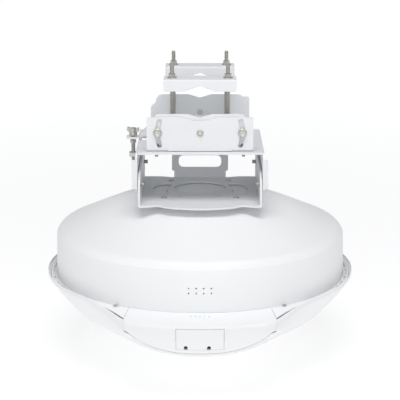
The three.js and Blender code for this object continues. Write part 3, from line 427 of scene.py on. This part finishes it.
def cover_controls(degrees):
    """The front cover's outside, from the axis up: where it is round, and over the chin."""
    rounds = [(share * RIM_R, bowl_z(share * RIM_R)) for share in BOWL_STATIONS]
    low, high = rounds[2], rounds[4]
    rounds[3] = blend_point(low, high, (rounds[3][0] - low[0]) / (high[0] - low[0]))
    rounds += [(RIM_R, BOWL_DEPTH), (RIM_R, LIP_Z - 1.2), (RIM_R - 1, LIP_Z)]
    k = min(1, abs(degrees) / CHIN_CORNER) ** 3
    back, below = blend_point(CREASE_MIDDLE, CREASE_CORNER, k)
    crease = (CHIN_R - back, FOLD_Z - below)
    fold = (CHIN_R, FOLD_Z - 4)
    middle = blend_point(crease, fold, 0.55)
    chin = [
        *rounds[:4],
        blend_point(rounds[3], crease, 0.55),
        crease,
        (crease[0] + 0.9, crease[1] + 1.6),
        (crease[0] + 1.2, crease[1] + 2.2),
        (middle[0] + 1.5, middle[1]),
        fold,
        (CHIN_R - 2, FOLD_Z - 0.4),
    ]
    foot = [(0, 0), (FOOT_R, 0)]
    return foot + rounds, foot + chin


STEPS = 5  # rows in each span of a profile
ROUND_CORNERS = (1,)
CHIN_CORNERS = (1, 7, 8, 9)
SEAM_LOW, SEAM_HIGH = 8 * STEPS, 9 * STEPS  # rows on both sides of the chin's lower seam


def angle_of(point):
    """Degrees from -Y, turning towards +X."""
    return math.degrees(math.atan2(point.x, -point.y))


@functools.lru_cache(maxsize=None)
def cover(degrees):
    rounds, chin = cover_controls(degrees)
    t = reach(degrees)
    both = zip(smooth_line(rounds, ROUND_CORNERS, STEPS), smooth_line(chin, CHIN_CORNERS, STEPS))
    line = [blend_point(a, b, t) for a, b in both]
    return [(min(r, blend(RIM_R, CHIN_R, t)), max(z, 0)) for r, z in line]


GROOVE_DEPTH = 1.9
DRUM_GAP = 0.3


@functools.lru_cache(maxsize=None)
def bezel(degrees):
    """The ring between the lip and the drum, with a groove at the drum's foot."""
    t = reach(degrees)
    lip = cover(degrees)[-1]
    outer = lip[0] - COVER_WALL - SEAM * (1 - t)
    top = blend(BEZEL_TOP, lip[1], t)
    groove = GROOVE_DEPTH * (1 - t)
    inner = DRUM_R + DRUM_GAP
    return [
        (outer, top - 1.4),
        (outer - 0.3, top - 0.2),
        (outer - 0.9, top),
        (blend(outer, inner, 0.5), blend(top, BEZEL_TOP, 0.55)),
        (inner + 5.5, BEZEL_TOP),
        (inner + 4.2, BEZEL_TOP - groove * 0.4),
        (inner + 3.4, BEZEL_TOP - groove),
        (inner + 1.2, BEZEL_TOP - groove * 0.7),
        (inner + 0.5, BEZEL_TOP - groove * 0.2),
        (inner, BEZEL_TOP - 0.5),
    ]


@functools.lru_cache(maxsize=None)
def chin(degrees):
    """The chin's skin: up from its lower seam, over the fold, and back to the drum."""
    outside = cover(degrees)[SEAM_HIGH:]
    fold = outside[-1]
    inner = DRUM_R + DRUM_GAP
    flat = [
        fold,
        (fold[0] - 4, fold[1] + 0.5),
        (blend(fold[0], inner, 0.45), blend(fold[1], BEZEL_TOP, 0.52)),
        (inner + 4, BEZEL_TOP),
        (inner, BEZEL_TOP),
    ]
    return outside + smooth_line(flat, (), STEPS)[1:]


def skin(line_at, start, end, steps):
    """A surface whose profile changes round the dish, between two angles from -Y."""
    bm = bmesh.new()
    row = bm.verts.layers.int.new("row")
    turn = Matrix.Rotation(math.radians(start), 3, "Z")
    verts = []
    for index, (r, z) in enumerate(line_at(start)):
        vert = bm.verts.new(turn @ Vector((0, -max(r, 1e-4) * MM, z * MM)))
        vert[row] = index
        verts.append(vert)
    edges = [bm.edges.new(pair) for pair in zip(verts, verts[1:])]
    angle = math.radians(end - start)
    whole = end - start >= 360
    bmesh.ops.spin(
        bm, geom=verts + edges, cent=(0, 0, 0), axis=Z, angle=angle, steps=steps, use_merge=whole
    )
    for vert in bm.verts:
        degrees = round(angle_of(vert.co), 2)
        r, z = line_at(degrees)[vert[row]]
        a = math.radians(degrees)
        vert.co = (r * MM * math.sin(a), -r * MM * math.cos(a), z * MM)
    bmesh.ops.remove_doubles(bm, verts=bm.verts, dist=2e-6)
    bmesh.ops.recalc_face_normals(bm, faces=bm.faces)
    return bm


def split(bm, point, normal, clear=False):
    """Cuts the mesh along a plane, and clears what lies on the side the normal points to."""
    bmesh.ops.bisect_plane(
        bm,
        geom=bm.verts[:] + bm.edges[:] + bm.faces[:],
        plane_co=Vector(point) * MM,
        plane_no=normal,
        clear_outer=clear,
    )


def drop(bm, unwanted):
    bmesh.ops.delete(bm, geom=[face for face in bm.faces if unwanted(face)], context="FACES")


FOLD_Y = CHIN_R * math.cos(math.radians(CHIN_CORNER))
CHIN_TAPER = 0.155  # how much the chin's sides spread towards its front


def chin_half(y):
    return CHIN_HALF + (-y - FOLD_Y) * CHIN_TAPER


def split_at_chin_sides(bm, inset, clear=False):
    for side in (-1, 1):
        point = (side * (CHIN_HALF - inset), -FOLD_Y, 0)
        split(bm, point, Vector((side, CHIN_TAPER, 0)).normalized(), clear)


def in_chin(face):
    """Whether a face lies in the part of the cover that the chin housing takes."""
    centre = face.calc_center_median()
    if centre.y > 0 or abs(centre.x) / MM > chin_half(centre.y / MM):
        return False
    line = cover(round(angle_of(centre), 1))
    return centre.z / MM > line[SEAM_LOW][1]


# ------------------------------------------------------------------ mouldings
ROUND_STEPS = 288  # of a skin that goes all round
EDGE = 0.5  # roundness of a moulding's edges


def front_radome():
    bm = skin(cover, 0, 360, ROUND_STEPS)
    split_at_chin_sides(bm, 0)
    drop(bm, in_chin)
    thicken(piece("radome_shell", bm, "front_radome"), COVER_WALL, EDGE)


def bezel_ring():
    bm = skin(bezel, 0, 360, ROUND_STEPS)
    split_at_chin_sides(bm, 0)
    drop(bm, in_chin)
    thicken(piece("bezel_trim", bm, "bezel_ring"), 1.2, 0.3)


def port_frame(bm, inset):
    """Splits the skin along the port opening, and gives a test for what lies inside it."""
    half = PORT_HALF - inset
    for side in (-1, 1):
        split(bm, (side * half, 0, 0), X)
    split(bm, (0, 0, PORT_BOTTOM + inset), Z)
    split(bm, (0, 0, PORT_TOP - inset), Z)

    def inside(face):
        x, _, z = face.calc_center_median() / MM
        return abs(x) < half and PORT_BOTTOM + inset < z < PORT_TOP - inset

    return inside


def chin_housing():
    bm = skin(chin, -30, 30, 96)
    split_at_chin_sides(bm, SEAM, clear=True)
    drop(bm, port_frame(bm, 0))
    thicken(piece("chin_shell", bm, "chin_housing"), COVER_WALL, EDGE)


NOTCHES = (-19.4, 12.2)
NOTCH_WIDTH, NOTCH_HEIGHT = 5, 7


def boolean_cut(made, tools):
    """Cuts closed tools out of a piece, for good, and removes the tools."""
    for tool in tools:
        cutter = made.modifiers.new("cut", "BOOLEAN")
        cutter.operation = "DIFFERENCE"
        cutter.solver = "EXACT"
        cutter.object = tool
    bpy.context.view_layer.update()
    shaped = bpy.data.meshes.new_from_object(
        made.evaluated_get(bpy.context.evaluated_depsgraph_get())
    )
    made.modifiers.clear()
    made.data = shaped
    for tool in tools:
        bpy.data.objects.remove(tool)


def rod(place, radius, length, segments):
    """A bmesh of a bar along Y, to cut a wall with."""
    bm = bmesh.new()
    bmesh.ops.create_cone(
        bm,
        cap_ends=True,
        segments=segments,
        radius1=radius * MM,
        radius2=radius * MM,
        depth=length * MM,
        matrix=Matrix.Translation(Vector(place) * MM) @ Matrix.Rotation(math.pi / 2, 4, "X"),
    )
    return bm


def notch_tool(x):
    """A cable notch: a bar with a round top, through the wall of the cover."""
    half = NOTCH_WIDTH / 2
    round_z = PORT_BOTTOM + NOTCH_HEIGHT - half
    bm = rod((x, -CHIN_R + 12, round_z), half, 60, 32)
    for vert in bm.verts:
        below = round_z - vert.co.z / MM
        if below > half * 0.6:
            vert.co.x = x * MM + math.copysign(half * MM, vert.co.x - x * MM)
        if below > 0.001:
            vert.co.z -= 8 * MM
    return linked("notch", bm)


def port_bay():
    """The black liner of the bay behind the port cover, open along the cover's slope: painted shade
    that keeps the cable notches dark.
    """
    board = node_box("port_board")[0]
    low = Vector((-PORT_HALF - 1, board.y + 0.6, PORT_BOTTOM - 2.2))
    high = Vector((PORT_HALF + 1, board.y - 30, PORT_TOP + 1))
    size = high - low
    place = Matrix.Translation((low + high) / 2 * MM) @ Matrix.Diagonal((*(size * MM), 1))
    bm = bmesh.new()
    bmesh.ops.create_cube(bm, size=1, matrix=place)
    lip = Vector((0, -CHIN_R + 4.5, PORT_TOP))
    foot = Vector((0, -CHIN_R + 23.5, PORT_BOTTOM))
    split(bm, lip, (foot - lip).cross(X).normalized(), clear=True)
    bmesh.ops.recalc_face_normals(bm, faces=bm.faces)
    # painted shade: the liner is black plastic so the bay seen through the notches looks dark
    thicken(piece("port_bay_shade_liner", bm, "chin_housing", slot="black"), 0.8, 0.2)


def port_cover():
    bm = skin(chin, -12, 12, 48)
    inside = port_frame(bm, PORT_GAP)
    drop(bm, lambda face: not inside(face))
    made = piece("port_lid", bm, "port_cover")
    thicken(made, COVER_WALL, 0.01)
    boolean_cut(made, [notch_tool(x) for x in NOTCHES])
    soften(made.data)
    round_edges(made, 0.35)


VENT_R, VENT_PITCH = 1.1, 10.5
VENT_COLUMNS = (-1.5, -0.5, 0.5, 1.5)
VENT_ROWS = (26.8, 33.8)  # above the cover's widest line


def rear_housing():
    """The drum, its shallow cone and its boss, with two rows of vents."""
    shoulder = (DRUM_R - 1.25 * DRUM_EDGE, DRUM_SHOULDER + 0.5 * DRUM_EDGE)
    boss_top = BOSS_Z - BOSS_GAP

    def on_cone(out, down):
        return (blend(BOSS_R, shoulder[0], out), blend(boss_top, shoulder[1], down))

    points = [
        (DRUM_R, BEZEL_LOW - 3),
        (DRUM_R - 0.3, BEZEL_LOW + 16),
        (DRUM_R - 1, DRUM_SHOULDER - 0.75 * DRUM_EDGE),
        (DRUM_R - 0.13 * DRUM_EDGE, DRUM_SHOULDER - 0.3 * DRUM_EDGE),
        (DRUM_R - 0.5 * DRUM_EDGE, DRUM_SHOULDER + 0.16 * DRUM_EDGE),
        shoulder,
        on_cone(0.587, 0.54),
        on_cone(0.231, 0.187),
        (BOSS_R + 2, boss_top - 0.8),
        (BOSS_R, boss_top),
        (BOSS_R / 2, boss_top),
        (0, boss_top),
    ]
    profile = [(r, min(z, boss_top)) for r, z in smooth_line(points, (9,), STEPS)]
    bm = skin(lambda degrees: profile, 0, 360, ROUND_STEPS)
    made = piece("drum_shell", bm, "rear_housing")
    thicken(made, COVER_WALL, 0.01)
    vents = [
        rod((column * VENT_PITCH, -DRUM_R, BOWL_DEPTH + row), VENT_R, 14, 20)
        for column in VENT_COLUMNS
        for row in VENT_ROWS
    ]
    boolean_cut(made, [linked("vent", vent) for vent in vents])
    soften(made.data)


LED_R, LED_FLATNESS = 1.5, 0.36


def status_leds():
    """Frosted domes that stand a little proud of the chin's plateau."""
    for n in range(1, 6):
        node = f"status_led_{n}"
        low, high = node_box(node)
        centre = (low + high) / 2
        surface = chin(round(angle_of(centre), 1))
        radius = math.hypot(centre.x, centre.y)
        top = min(surface, key=lambda point: abs(point[0] - radius) + (point[1] < FOLD_Z - 2) * 99)
        bm = bmesh.new()
        bmesh.ops.create_uvsphere(bm, u_segments=32, v_segments=16, radius=LED_R * MM)
        flat = Matrix.Diagonal((1, 1, LED_FLATNESS, 1))
        place = Matrix.Translation(Vector((centre.x, centre.y, top[1])) * MM)
        bmesh.ops.transform(bm, matrix=place @ flat, verts=bm.verts)
        piece(f"led_dome_{n}", bm, node, angle=60)


# ------------------------------------------------------------------ painted steel
SHARP, BEND_AREA = math.radians(40), 1.2e-3  # least fold of an edge, least face beside a bend


def softened(name, node, edge=0.5, bend=0.0, bend_length=60, pressing=None):
    """A copy of a steel piece with rounded bends and soft edges."""
    bm = bmesh.new()
    bm.from_mesh(frame["nodes"][node].data)
    bmesh.ops.remove_doubles(bm, verts=bm.verts, dist=4e-6)
    bmesh.ops.recalc_face_normals(bm, faces=bm.faces)
    bmesh.ops.dissolve_limit(
        bm, angle_limit=math.radians(1), verts=bm.verts, edges=bm.edges, delimit=set()
    )
    if pressing:
        pressing(bm)

    def sharp(line):
        return len(line.link_faces) == 2 and line.calc_face_angle(0) > SHARP

    def long_bend(line):
        roomy = all(face.calc_area() > BEND_AREA for face in line.link_faces)
        return sharp(line) and roomy and line.is_convex and line.calc_length() > bend_length * MM

    for chosen, offset, rows in ((long_bend, bend, 5), (sharp, edge, 2)):
        if offset:
            bmesh.ops.bevel(
                bm,
                geom=[line for line in bm.edges if chosen(line)],
                offset=offset * MM,
                offset_type="OFFSET",
                affect="EDGES",
                segments=rows,
                profile=0.5,
                clamp_overlap=True,
                material=-1,
            )
    many_sided = [face for face in bm.faces if len(face.verts) > 4]
    bmesh.ops.triangulate(bm, faces=many_sided, ngon_method="EAR_CLIP")
    made = piece(name, bm, node, angle=40)
    weight = made.modifiers.new("flat faces", "WEIGHTED_NORMAL")
    weight.keep_sharp = True


PRESSED_INSET = 30  # from the carrier's ends
PRESSED_HEIGHT = 8
PRESSED_DEPTH = 0.6
PRESSED_GAP = 0.9  # shadow gap below it


def carrier_pressing(bm):
    """A low pressed panel at the foot of the carrier's near wall."""
    low, high = node_box("azimuth_carrier")
    half = round(high.x - PRESSED_INSET, 2)
    top = low.z + PRESSED_HEIGHT

    def on_wall():
        return [
            face
            for face in bm.faces
            if face.normal.y < -0.9 and abs(face.calc_center_median().y / MM - low.y) < 0.05
        ]

    for point, normal in (((-half, 0, 0), X), ((half, 0, 0), X), ((0, 0, top), Z)):
        near = on_wall()
        around = {line for face in near for line in face.edges}
        corners = {vert for face in near for vert in face.verts}
        bmesh.ops.bisect_plane(
            bm,
            geom=[*corners, *around, *near],
            plane_co=Vector(point) * MM,
            plane_no=normal,
        )
    panel = []
    for face in on_wall():
        x, _, z = face.calc_center_median() / MM
        if abs(x) < half and z < top:
            panel.append(face)
    for vert in {vert for face in panel for vert in face.verts}:
        if vert.co.z < (low.z + 0.1) * MM:
            vert.co.z += PRESSED_GAP * MM
    raised = bmesh.ops.extrude_face_region(bm, geom=panel)["geom"]
    bmesh.ops.translate(bm, vec=-Y * PRESSED_DEPTH * MM, verts=only_verts(raised))
    bmesh.ops.delete(bm, geom=[face for face in panel if face.is_valid], context="FACES_ONLY")


def only_verts(parts):
    return [part for part in parts if isinstance(part, bmesh.types.BMVert)]


def painted_steel():
    softened("base_plate_steel", "base_bracket", 0.5, 2.6)
    softened("yoke_steel", "elevation_yoke", 0.5, 3.0)
    softened("carrier_steel", "azimuth_carrier", 0.5, 2.4, pressing=carrier_pressing)
    softened("channel_steel", "pole_channel", 0.5, 2.4)
    softened("near_jaw_steel", "pole_clamp_near", 0.4, 2.4, 50)
    softened("far_jaw_steel", "pole_clamp_far", 0.4, 2.4, 50)
    softened("swivel_block", "adjuster_swivel", 0.4)


# ------------------------------------------------------------------ fasteners
M6, M6_FLANGE, M6_HEIGHT = 3, 6.5, 5  # shank's radius, flange's radius, height of the head
M5, M5_FLANGE, M5_HEIGHT = 2.5, 4.6, 3
FLANGE = 1.5  # height of the flange under a hexagon
THREAD_DEPTH = 0.5


def ring_profile(bm, profile, steps=48):
    """Adds a turned solid to a mesh that may hold others already."""
    verts = [bm.verts.new((0, -r * MM, z * MM)) for r, z in profile]
    edges = [bm.edges.new(pair) for pair in zip(verts, verts[1:])]
    bmesh.ops.spin(
        bm, geom=verts + edges, cent=(0, 0, 0), axis=Z, angle=2 * math.pi, steps=steps, use_merge=True
    )
    bmesh.ops.remove_doubles(bm, verts=bm.verts, dist=1e-6)


def washer_face(bm, radius):
    """The round flange under a hexagon, thin at its rim."""
    ring_profile(
        bm,
        [
            (0, 0),
            (radius - 0.3, 0),
            (radius, 0.25),
            (radius, 0.7),
            (radius * 0.93, 1.1),
            (radius * 0.80, FLANGE),
            (0, FLANGE),
        ],
    )


def hexagon(bm, corner, low, high, dish=0.0):
    """A six-sided block with its upper corners taken off, and a shallow dish in its top."""
    middle = (low + high) / 2 * MM
    made = bmesh.ops.create_cone(
        bm,
        cap_ends=True,
        segments=6,
        radius1=corner * MM,
        radius2=corner * MM,
        depth=(high - low) * MM,
        matrix=Matrix.Translation(Z * middle),
    )
    top = [vert for vert in made["verts"] if vert.co.z > middle]
    face = next(f for f in top[0].link_faces if all(vert in top for vert in f.verts))
    bmesh.ops.bevel(
        bm,
        geom=list(face.edges),
        offset=0.45 * MM,
        offset_type="OFFSET",
        affect="EDGES",
        segments=2,
        profile=0.5,
        clamp_overlap=True,
        material=-1,
    )
    if dish:
        cap = max(
            (f for f in bm.faces if f.is_valid and f.normal.z > 0.9 and len(f.verts) >= 6),
            key=lambda f: f.calc_center_median().z,
        )
        bmesh.ops.inset_individual(bm, faces=[cap], thickness=1.2 * MM)
        bmesh.ops.translate(bm, vec=-Z * dish * MM, verts=cap.verts)


def threaded(bm, radius, low, high, pitch=1.0, steps=24):
    """A shank with rolled threads."""
    core = radius - THREAD_DEPTH
    profile = [(0, low), (core, low)]
    for turn in range(int((high - low) / pitch)):
        z = low + turn * pitch
        profile += [(radius, z + 0.35 * pitch), (radius, z + 0.6 * pitch), (core, z + 0.95 * pitch)]
    profile += [(core - 0.3, high), (0, high)]
    ring_profile(bm, profile, steps)


def facing(axis):
    """Turns +Z to an axis."""
    return axis.to_track_quat("Z", "Y").to_matrix().to_4x4()


def set_in(bm, node, axis, tip, turn=0.0):
    """Moves a fastener made along +Z to its node, with its highest point at the node's end."""
    low, high = node_box(node)
    centre = (low + high) / 2
    along = max(low.dot(axis), high.dot(axis))
    origin = centre + axis * (along - centre.dot(axis) - tip)
    place = Matrix.Translation(origin * MM) @ facing(axis) @ Matrix.Rotation(turn, 4, "Z")
    bmesh.ops.transform(bm, matrix=place, verts=bm.verts)
    bmesh.ops.recalc_face_normals(bm, faces=bm.faces)


def flange_bolt(name, node, axis, shank, flange, height, length, turn):
    """A hexagon bolt with a flange."""
    bm = bmesh.new()
    washer_face(bm, flange)
    hexagon(bm, flange * 0.85, 1, height, dish=0.5)
    threaded(bm, shank, -length, 0.2)
    set_in(bm, node, axis, height, turn)
    piece(name, bm, node)


def flat_screw(name, node, head, length):
    """A pan head screw with a round recess."""
    bm = bmesh.new()
    ring_profile(
        bm,
        [
            (0, 0),
            (head - 0.2, 0),
            (head, 0.3),
            (head * 0.92, 0.95),
            (head * 0.7, 1.3),
            (head * 0.36, 1.4),
            (head * 0.3, 0.7),
            (0, 0.5),
        ],
        32,
    )
    threaded(bm, head * 0.5, -length, 0.2)
    set_in(bm, node, Z, 1.4)
    piece(name, bm, node)


NUT_TOP, NUT_LOW = 6, 1.3  # of the hexagon
NUT_CORNER, NUT_FLANGE, NUT_BORE = 5.6, 7.2, 3.3
NUT_BORE_DEPTH = 5


def nut(name, node, axis):
    """A flanged nut round a bolt, with its top towards the axis."""
    bm = bmesh.new()
    ring_profile(
        bm,
        [
            (NUT_BORE, 0),
            (NUT_FLANGE - 0.3, 0),
            (NUT_FLANGE, 0.25),
            (NUT_FLANGE, 0.7),
            (NUT_FLANGE - 0.6, 1.2),
            (NUT_FLANGE - 1.8, 1.6),
            (NUT_BORE, 1.6),
            (NUT_BORE, 0),
        ],
    )
    middle = (NUT_LOW + NUT_TOP) / 2 * MM
    made = bmesh.ops.create_cone(
        bm,
        cap_ends=False,
        segments=6,
        radius1=NUT_CORNER * MM,
        radius2=NUT_CORNER * MM,
        depth=(NUT_TOP - NUT_LOW) * MM,
        matrix=Matrix.Translation(Z * middle),
    )
    top = [vert for vert in made["verts"] if vert.co.z > middle]
    rim = [line for line in bm.edges if all(vert in top for vert in line.verts)]
    inner = bmesh.ops.create_circle(
        bm, segments=24, radius=NUT_BORE * MM, matrix=Matrix.Translation(Z * NUT_TOP * MM)
    )
    inner_rim = [line for line in bm.edges if all(vert in inner["verts"] for vert in line.verts)]
    bmesh.ops.triangle_fill(bm, edges=rim + inner_rim, use_beauty=True)
    bore = bmesh.ops.extrude_edge_only(bm, edges=inner_rim)["geom"]
    bmesh.ops.translate(bm, vec=-Z * NUT_BORE_DEPTH * MM, verts=only_verts(bore))
    set_in(bm, node, axis, NUT_TOP)
    piece(name, bm, node)


def clamp_bolt(name, node):
    """A long bolt whose head is under the channel and whose threads pass the jaw."""
    low, high = node_box(node)
    tip = high.z - low.z - 0.6
    bm = bmesh.new()
    hexagon(bm, 6, 0, 3.6)
    threaded(bm, M6, 3.2, tip)
    set_in(bm, node, Z, tip)
    piece(name, bm, node)


def fasteners():
    m6 = (M6, M6_FLANGE, M6_HEIGHT)
    m5 = (M5, M5_FLANGE, M5_HEIGHT)
    for word, side in (("left", -1), ("right", 1)):
        for part, turn in (("pivot", 0.2), ("lock", 0.6)):
            node = f"elevation_{part}_{word}"
            flange_bolt(f"{part}_bolt_{word}", node, X * side, *m6, 12.5, turn)
        flange_bolt(f"swing_bolt_{word}", f"azimuth_lock_{word}", -Y, *m6, 11, 0.3)
        flange_bolt(f"web_bolt_{word}", f"carrier_screw_{word}", Z, *m5, 15.5, 0.1)
        flat_screw(f"trim_screw_{word}", f"bezel_screw_{word}", 3, 5)
        for row in ("near", "far"):
            clamp_bolt(f"{row}_bolt_{word}", f"clamp_bolt_{row}_{word}")
            nut(f"{row}_nut_{word}", f"clamp_nut_{row}_{word}", Z)
    nut("stop_nut", "clamp_stop_nut", -Z)
    for n in range(1, 5):
        flat_screw(f"plate_screw_{n}", f"base_screw_{n}", 4.6, 10)
    for row, axis in (("near", -Y), ("far", Y)):
        rivet(f"{row}_rivet", f"azimuth_rivet_{row}", axis)
    fine_screw()
    softened("wing_knob", "adjuster_knob", 0.5)


def rivet(name, node, axis):
    """A low domed rivet head on its pin."""
    bm = bmesh.new()
    ring_profile(
        bm,
        [
            (0, -6.6),
            (3.9, -6.6),
            (4, -6.3),
            (4, 0),
            (4.7, 0),
            (4.8, 0.3),
            (4.5, 1.1),
            (3.7, 1.3),
            (3.3, 0.8),
            (2.9, 1.4),
            (0, 1.6),
        ],
    )
    set_in(bm, node, axis, 1.6)
    piece(name, bm, node)


KNOB_DEPTH, KNOB_GAP = 8, 0.3  # the screw's end in the knob
COLLAR, FORK_GAP, FORK_SHEET = 2, 2, 3  # collar, then gap, then the lever's fork
HEX_HEIGHT = 4.5


def fine_screw():
    """The adjuster's screw: its thread, and a hexagon and a collar that hold the lever's fork."""
    node = "adjuster_screw"
    low, high = node_box(node)
    length = high.z - low.z
    collar_top = length - KNOB_DEPTH - KNOB_GAP
    collar_low = collar_top - COLLAR
    hex_top = collar_low - FORK_GAP - FORK_SHEET - FORK_GAP
    bm = bmesh.new()
    threaded(bm, M6, 0, length)
    hexagon(bm, 5, hex_top - HEX_HEIGHT, hex_top)
    ring_profile(
        bm,
        [
            (2.4, collar_low),
            (6, collar_low),
            (6.2, collar_low + 0.3),
            (6.2, collar_top - 0.3),
            (6, collar_top),
            (2.4, collar_top),
        ],
        32,
    )
    set_in(bm, node, Z, length)
    piece("fine_thread", bm, node)


# ------------------------------------------------------------------ the stage
def floor():
    """A pale floor that glows more the further it is from the object: the dimmer glow round the
    object is a painted shadow.
    """
    bm = bmesh.new()
    bmesh.ops.create_grid(bm, x_segments=1, y_segments=1, size=6)
    ground = linked("floor", bm)
    s = Shader("pale_floor")
    cloud = s.noise(2.0, 3.0)
    s.set(Base_Color=s.mix(cloud, (0.39, 0.39, 0.395, 1), (0.41, 0.41, 0.415, 1)))
    s.set(Roughness=0.8 + 0.1 * cloud, Specular_IOR_Level=0.1)
    away = s.add("ShaderNodeVectorMath", {"operation": "LENGTH"}, {0: s.place}, output="Value")
    # painted shadow: the floor's glow is dimmed to 0.8 round the object and rises to full further off
    far = s.ramp(away, 0.3, 3.0)
    s.set(Emission_Color=s.mix(far, (0.80, 0.80, 0.80, 1), (1, 1, 1, 1)), Emission_Strength=0.84)
    ground.data.materials.append(s.material)


def softbox(name, place, target, size, power):
    light = bpy.data.lights.new(name, "AREA")
    light.shape = "RECTANGLE"
    light.size, light.size_y = size
    light.energy = power
    made = bpy.data.objects.new(name, light)
    bpy.context.scene.collection.objects.link(made)
    made.location = place
    made.rotation_euler = (Vector(target) - Vector(place)).to_track_quat("-Z", "Y").to_euler()


def studio():
    """White all round, dimmer as a light than as a backdrop, and a large soft key in front."""
    world = bpy.data.worlds.new("studio")
    world.use_nodes = True
    nodes, links = world.node_tree.nodes, world.node_tree.links
    backdrop = nodes["Background"]
    backdrop.inputs["Color"].default_value = (1, 1, 1, 1)
    backdrop.inputs["Strength"].default_value = 1.0
    fill = nodes.new("ShaderNodeBackground")
    fill.inputs["Color"].default_value = (0.95, 0.97, 1, 1)
    fill.inputs["Strength"].default_value = 0.40
    path = nodes.new("ShaderNodeLightPath")
    both = nodes.new("ShaderNodeMixShader")
    links.new(path.outputs["Is Camera Ray"], both.inputs[0])
    links.new(fill.outputs[0], both.inputs[1])
    links.new(backdrop.outputs[0], both.inputs[2])
    links.new(both.outputs[0], nodes["World Output"].inputs[0])
    bpy.context.scene.world = world
    bpy.context.scene.view_settings.view_transform = "Standard"
    softbox("high", (0.0, -1.0, 2.5), (0, -0.1, 0.2), (1.6, 1.0), 34)
    softbox("front", (0.0, -3.0, 0.8), (0, -0.1, 0.2), (1.8, 1.0), 14)
    softbox("left", (-2.2, -0.6, 1.4), (0, 0, 0.2), (1.2, 1.2), 2)
    softbox("right", (2.2, -0.6, 1.4), (0, 0, 0.2), (1.2, 1.2), 2)


front_radome()
bezel_ring()
chin_housing()
port_bay()
port_cover()
rear_housing()
status_leds()
painted_steel()
fasteners()
floor()
studio()
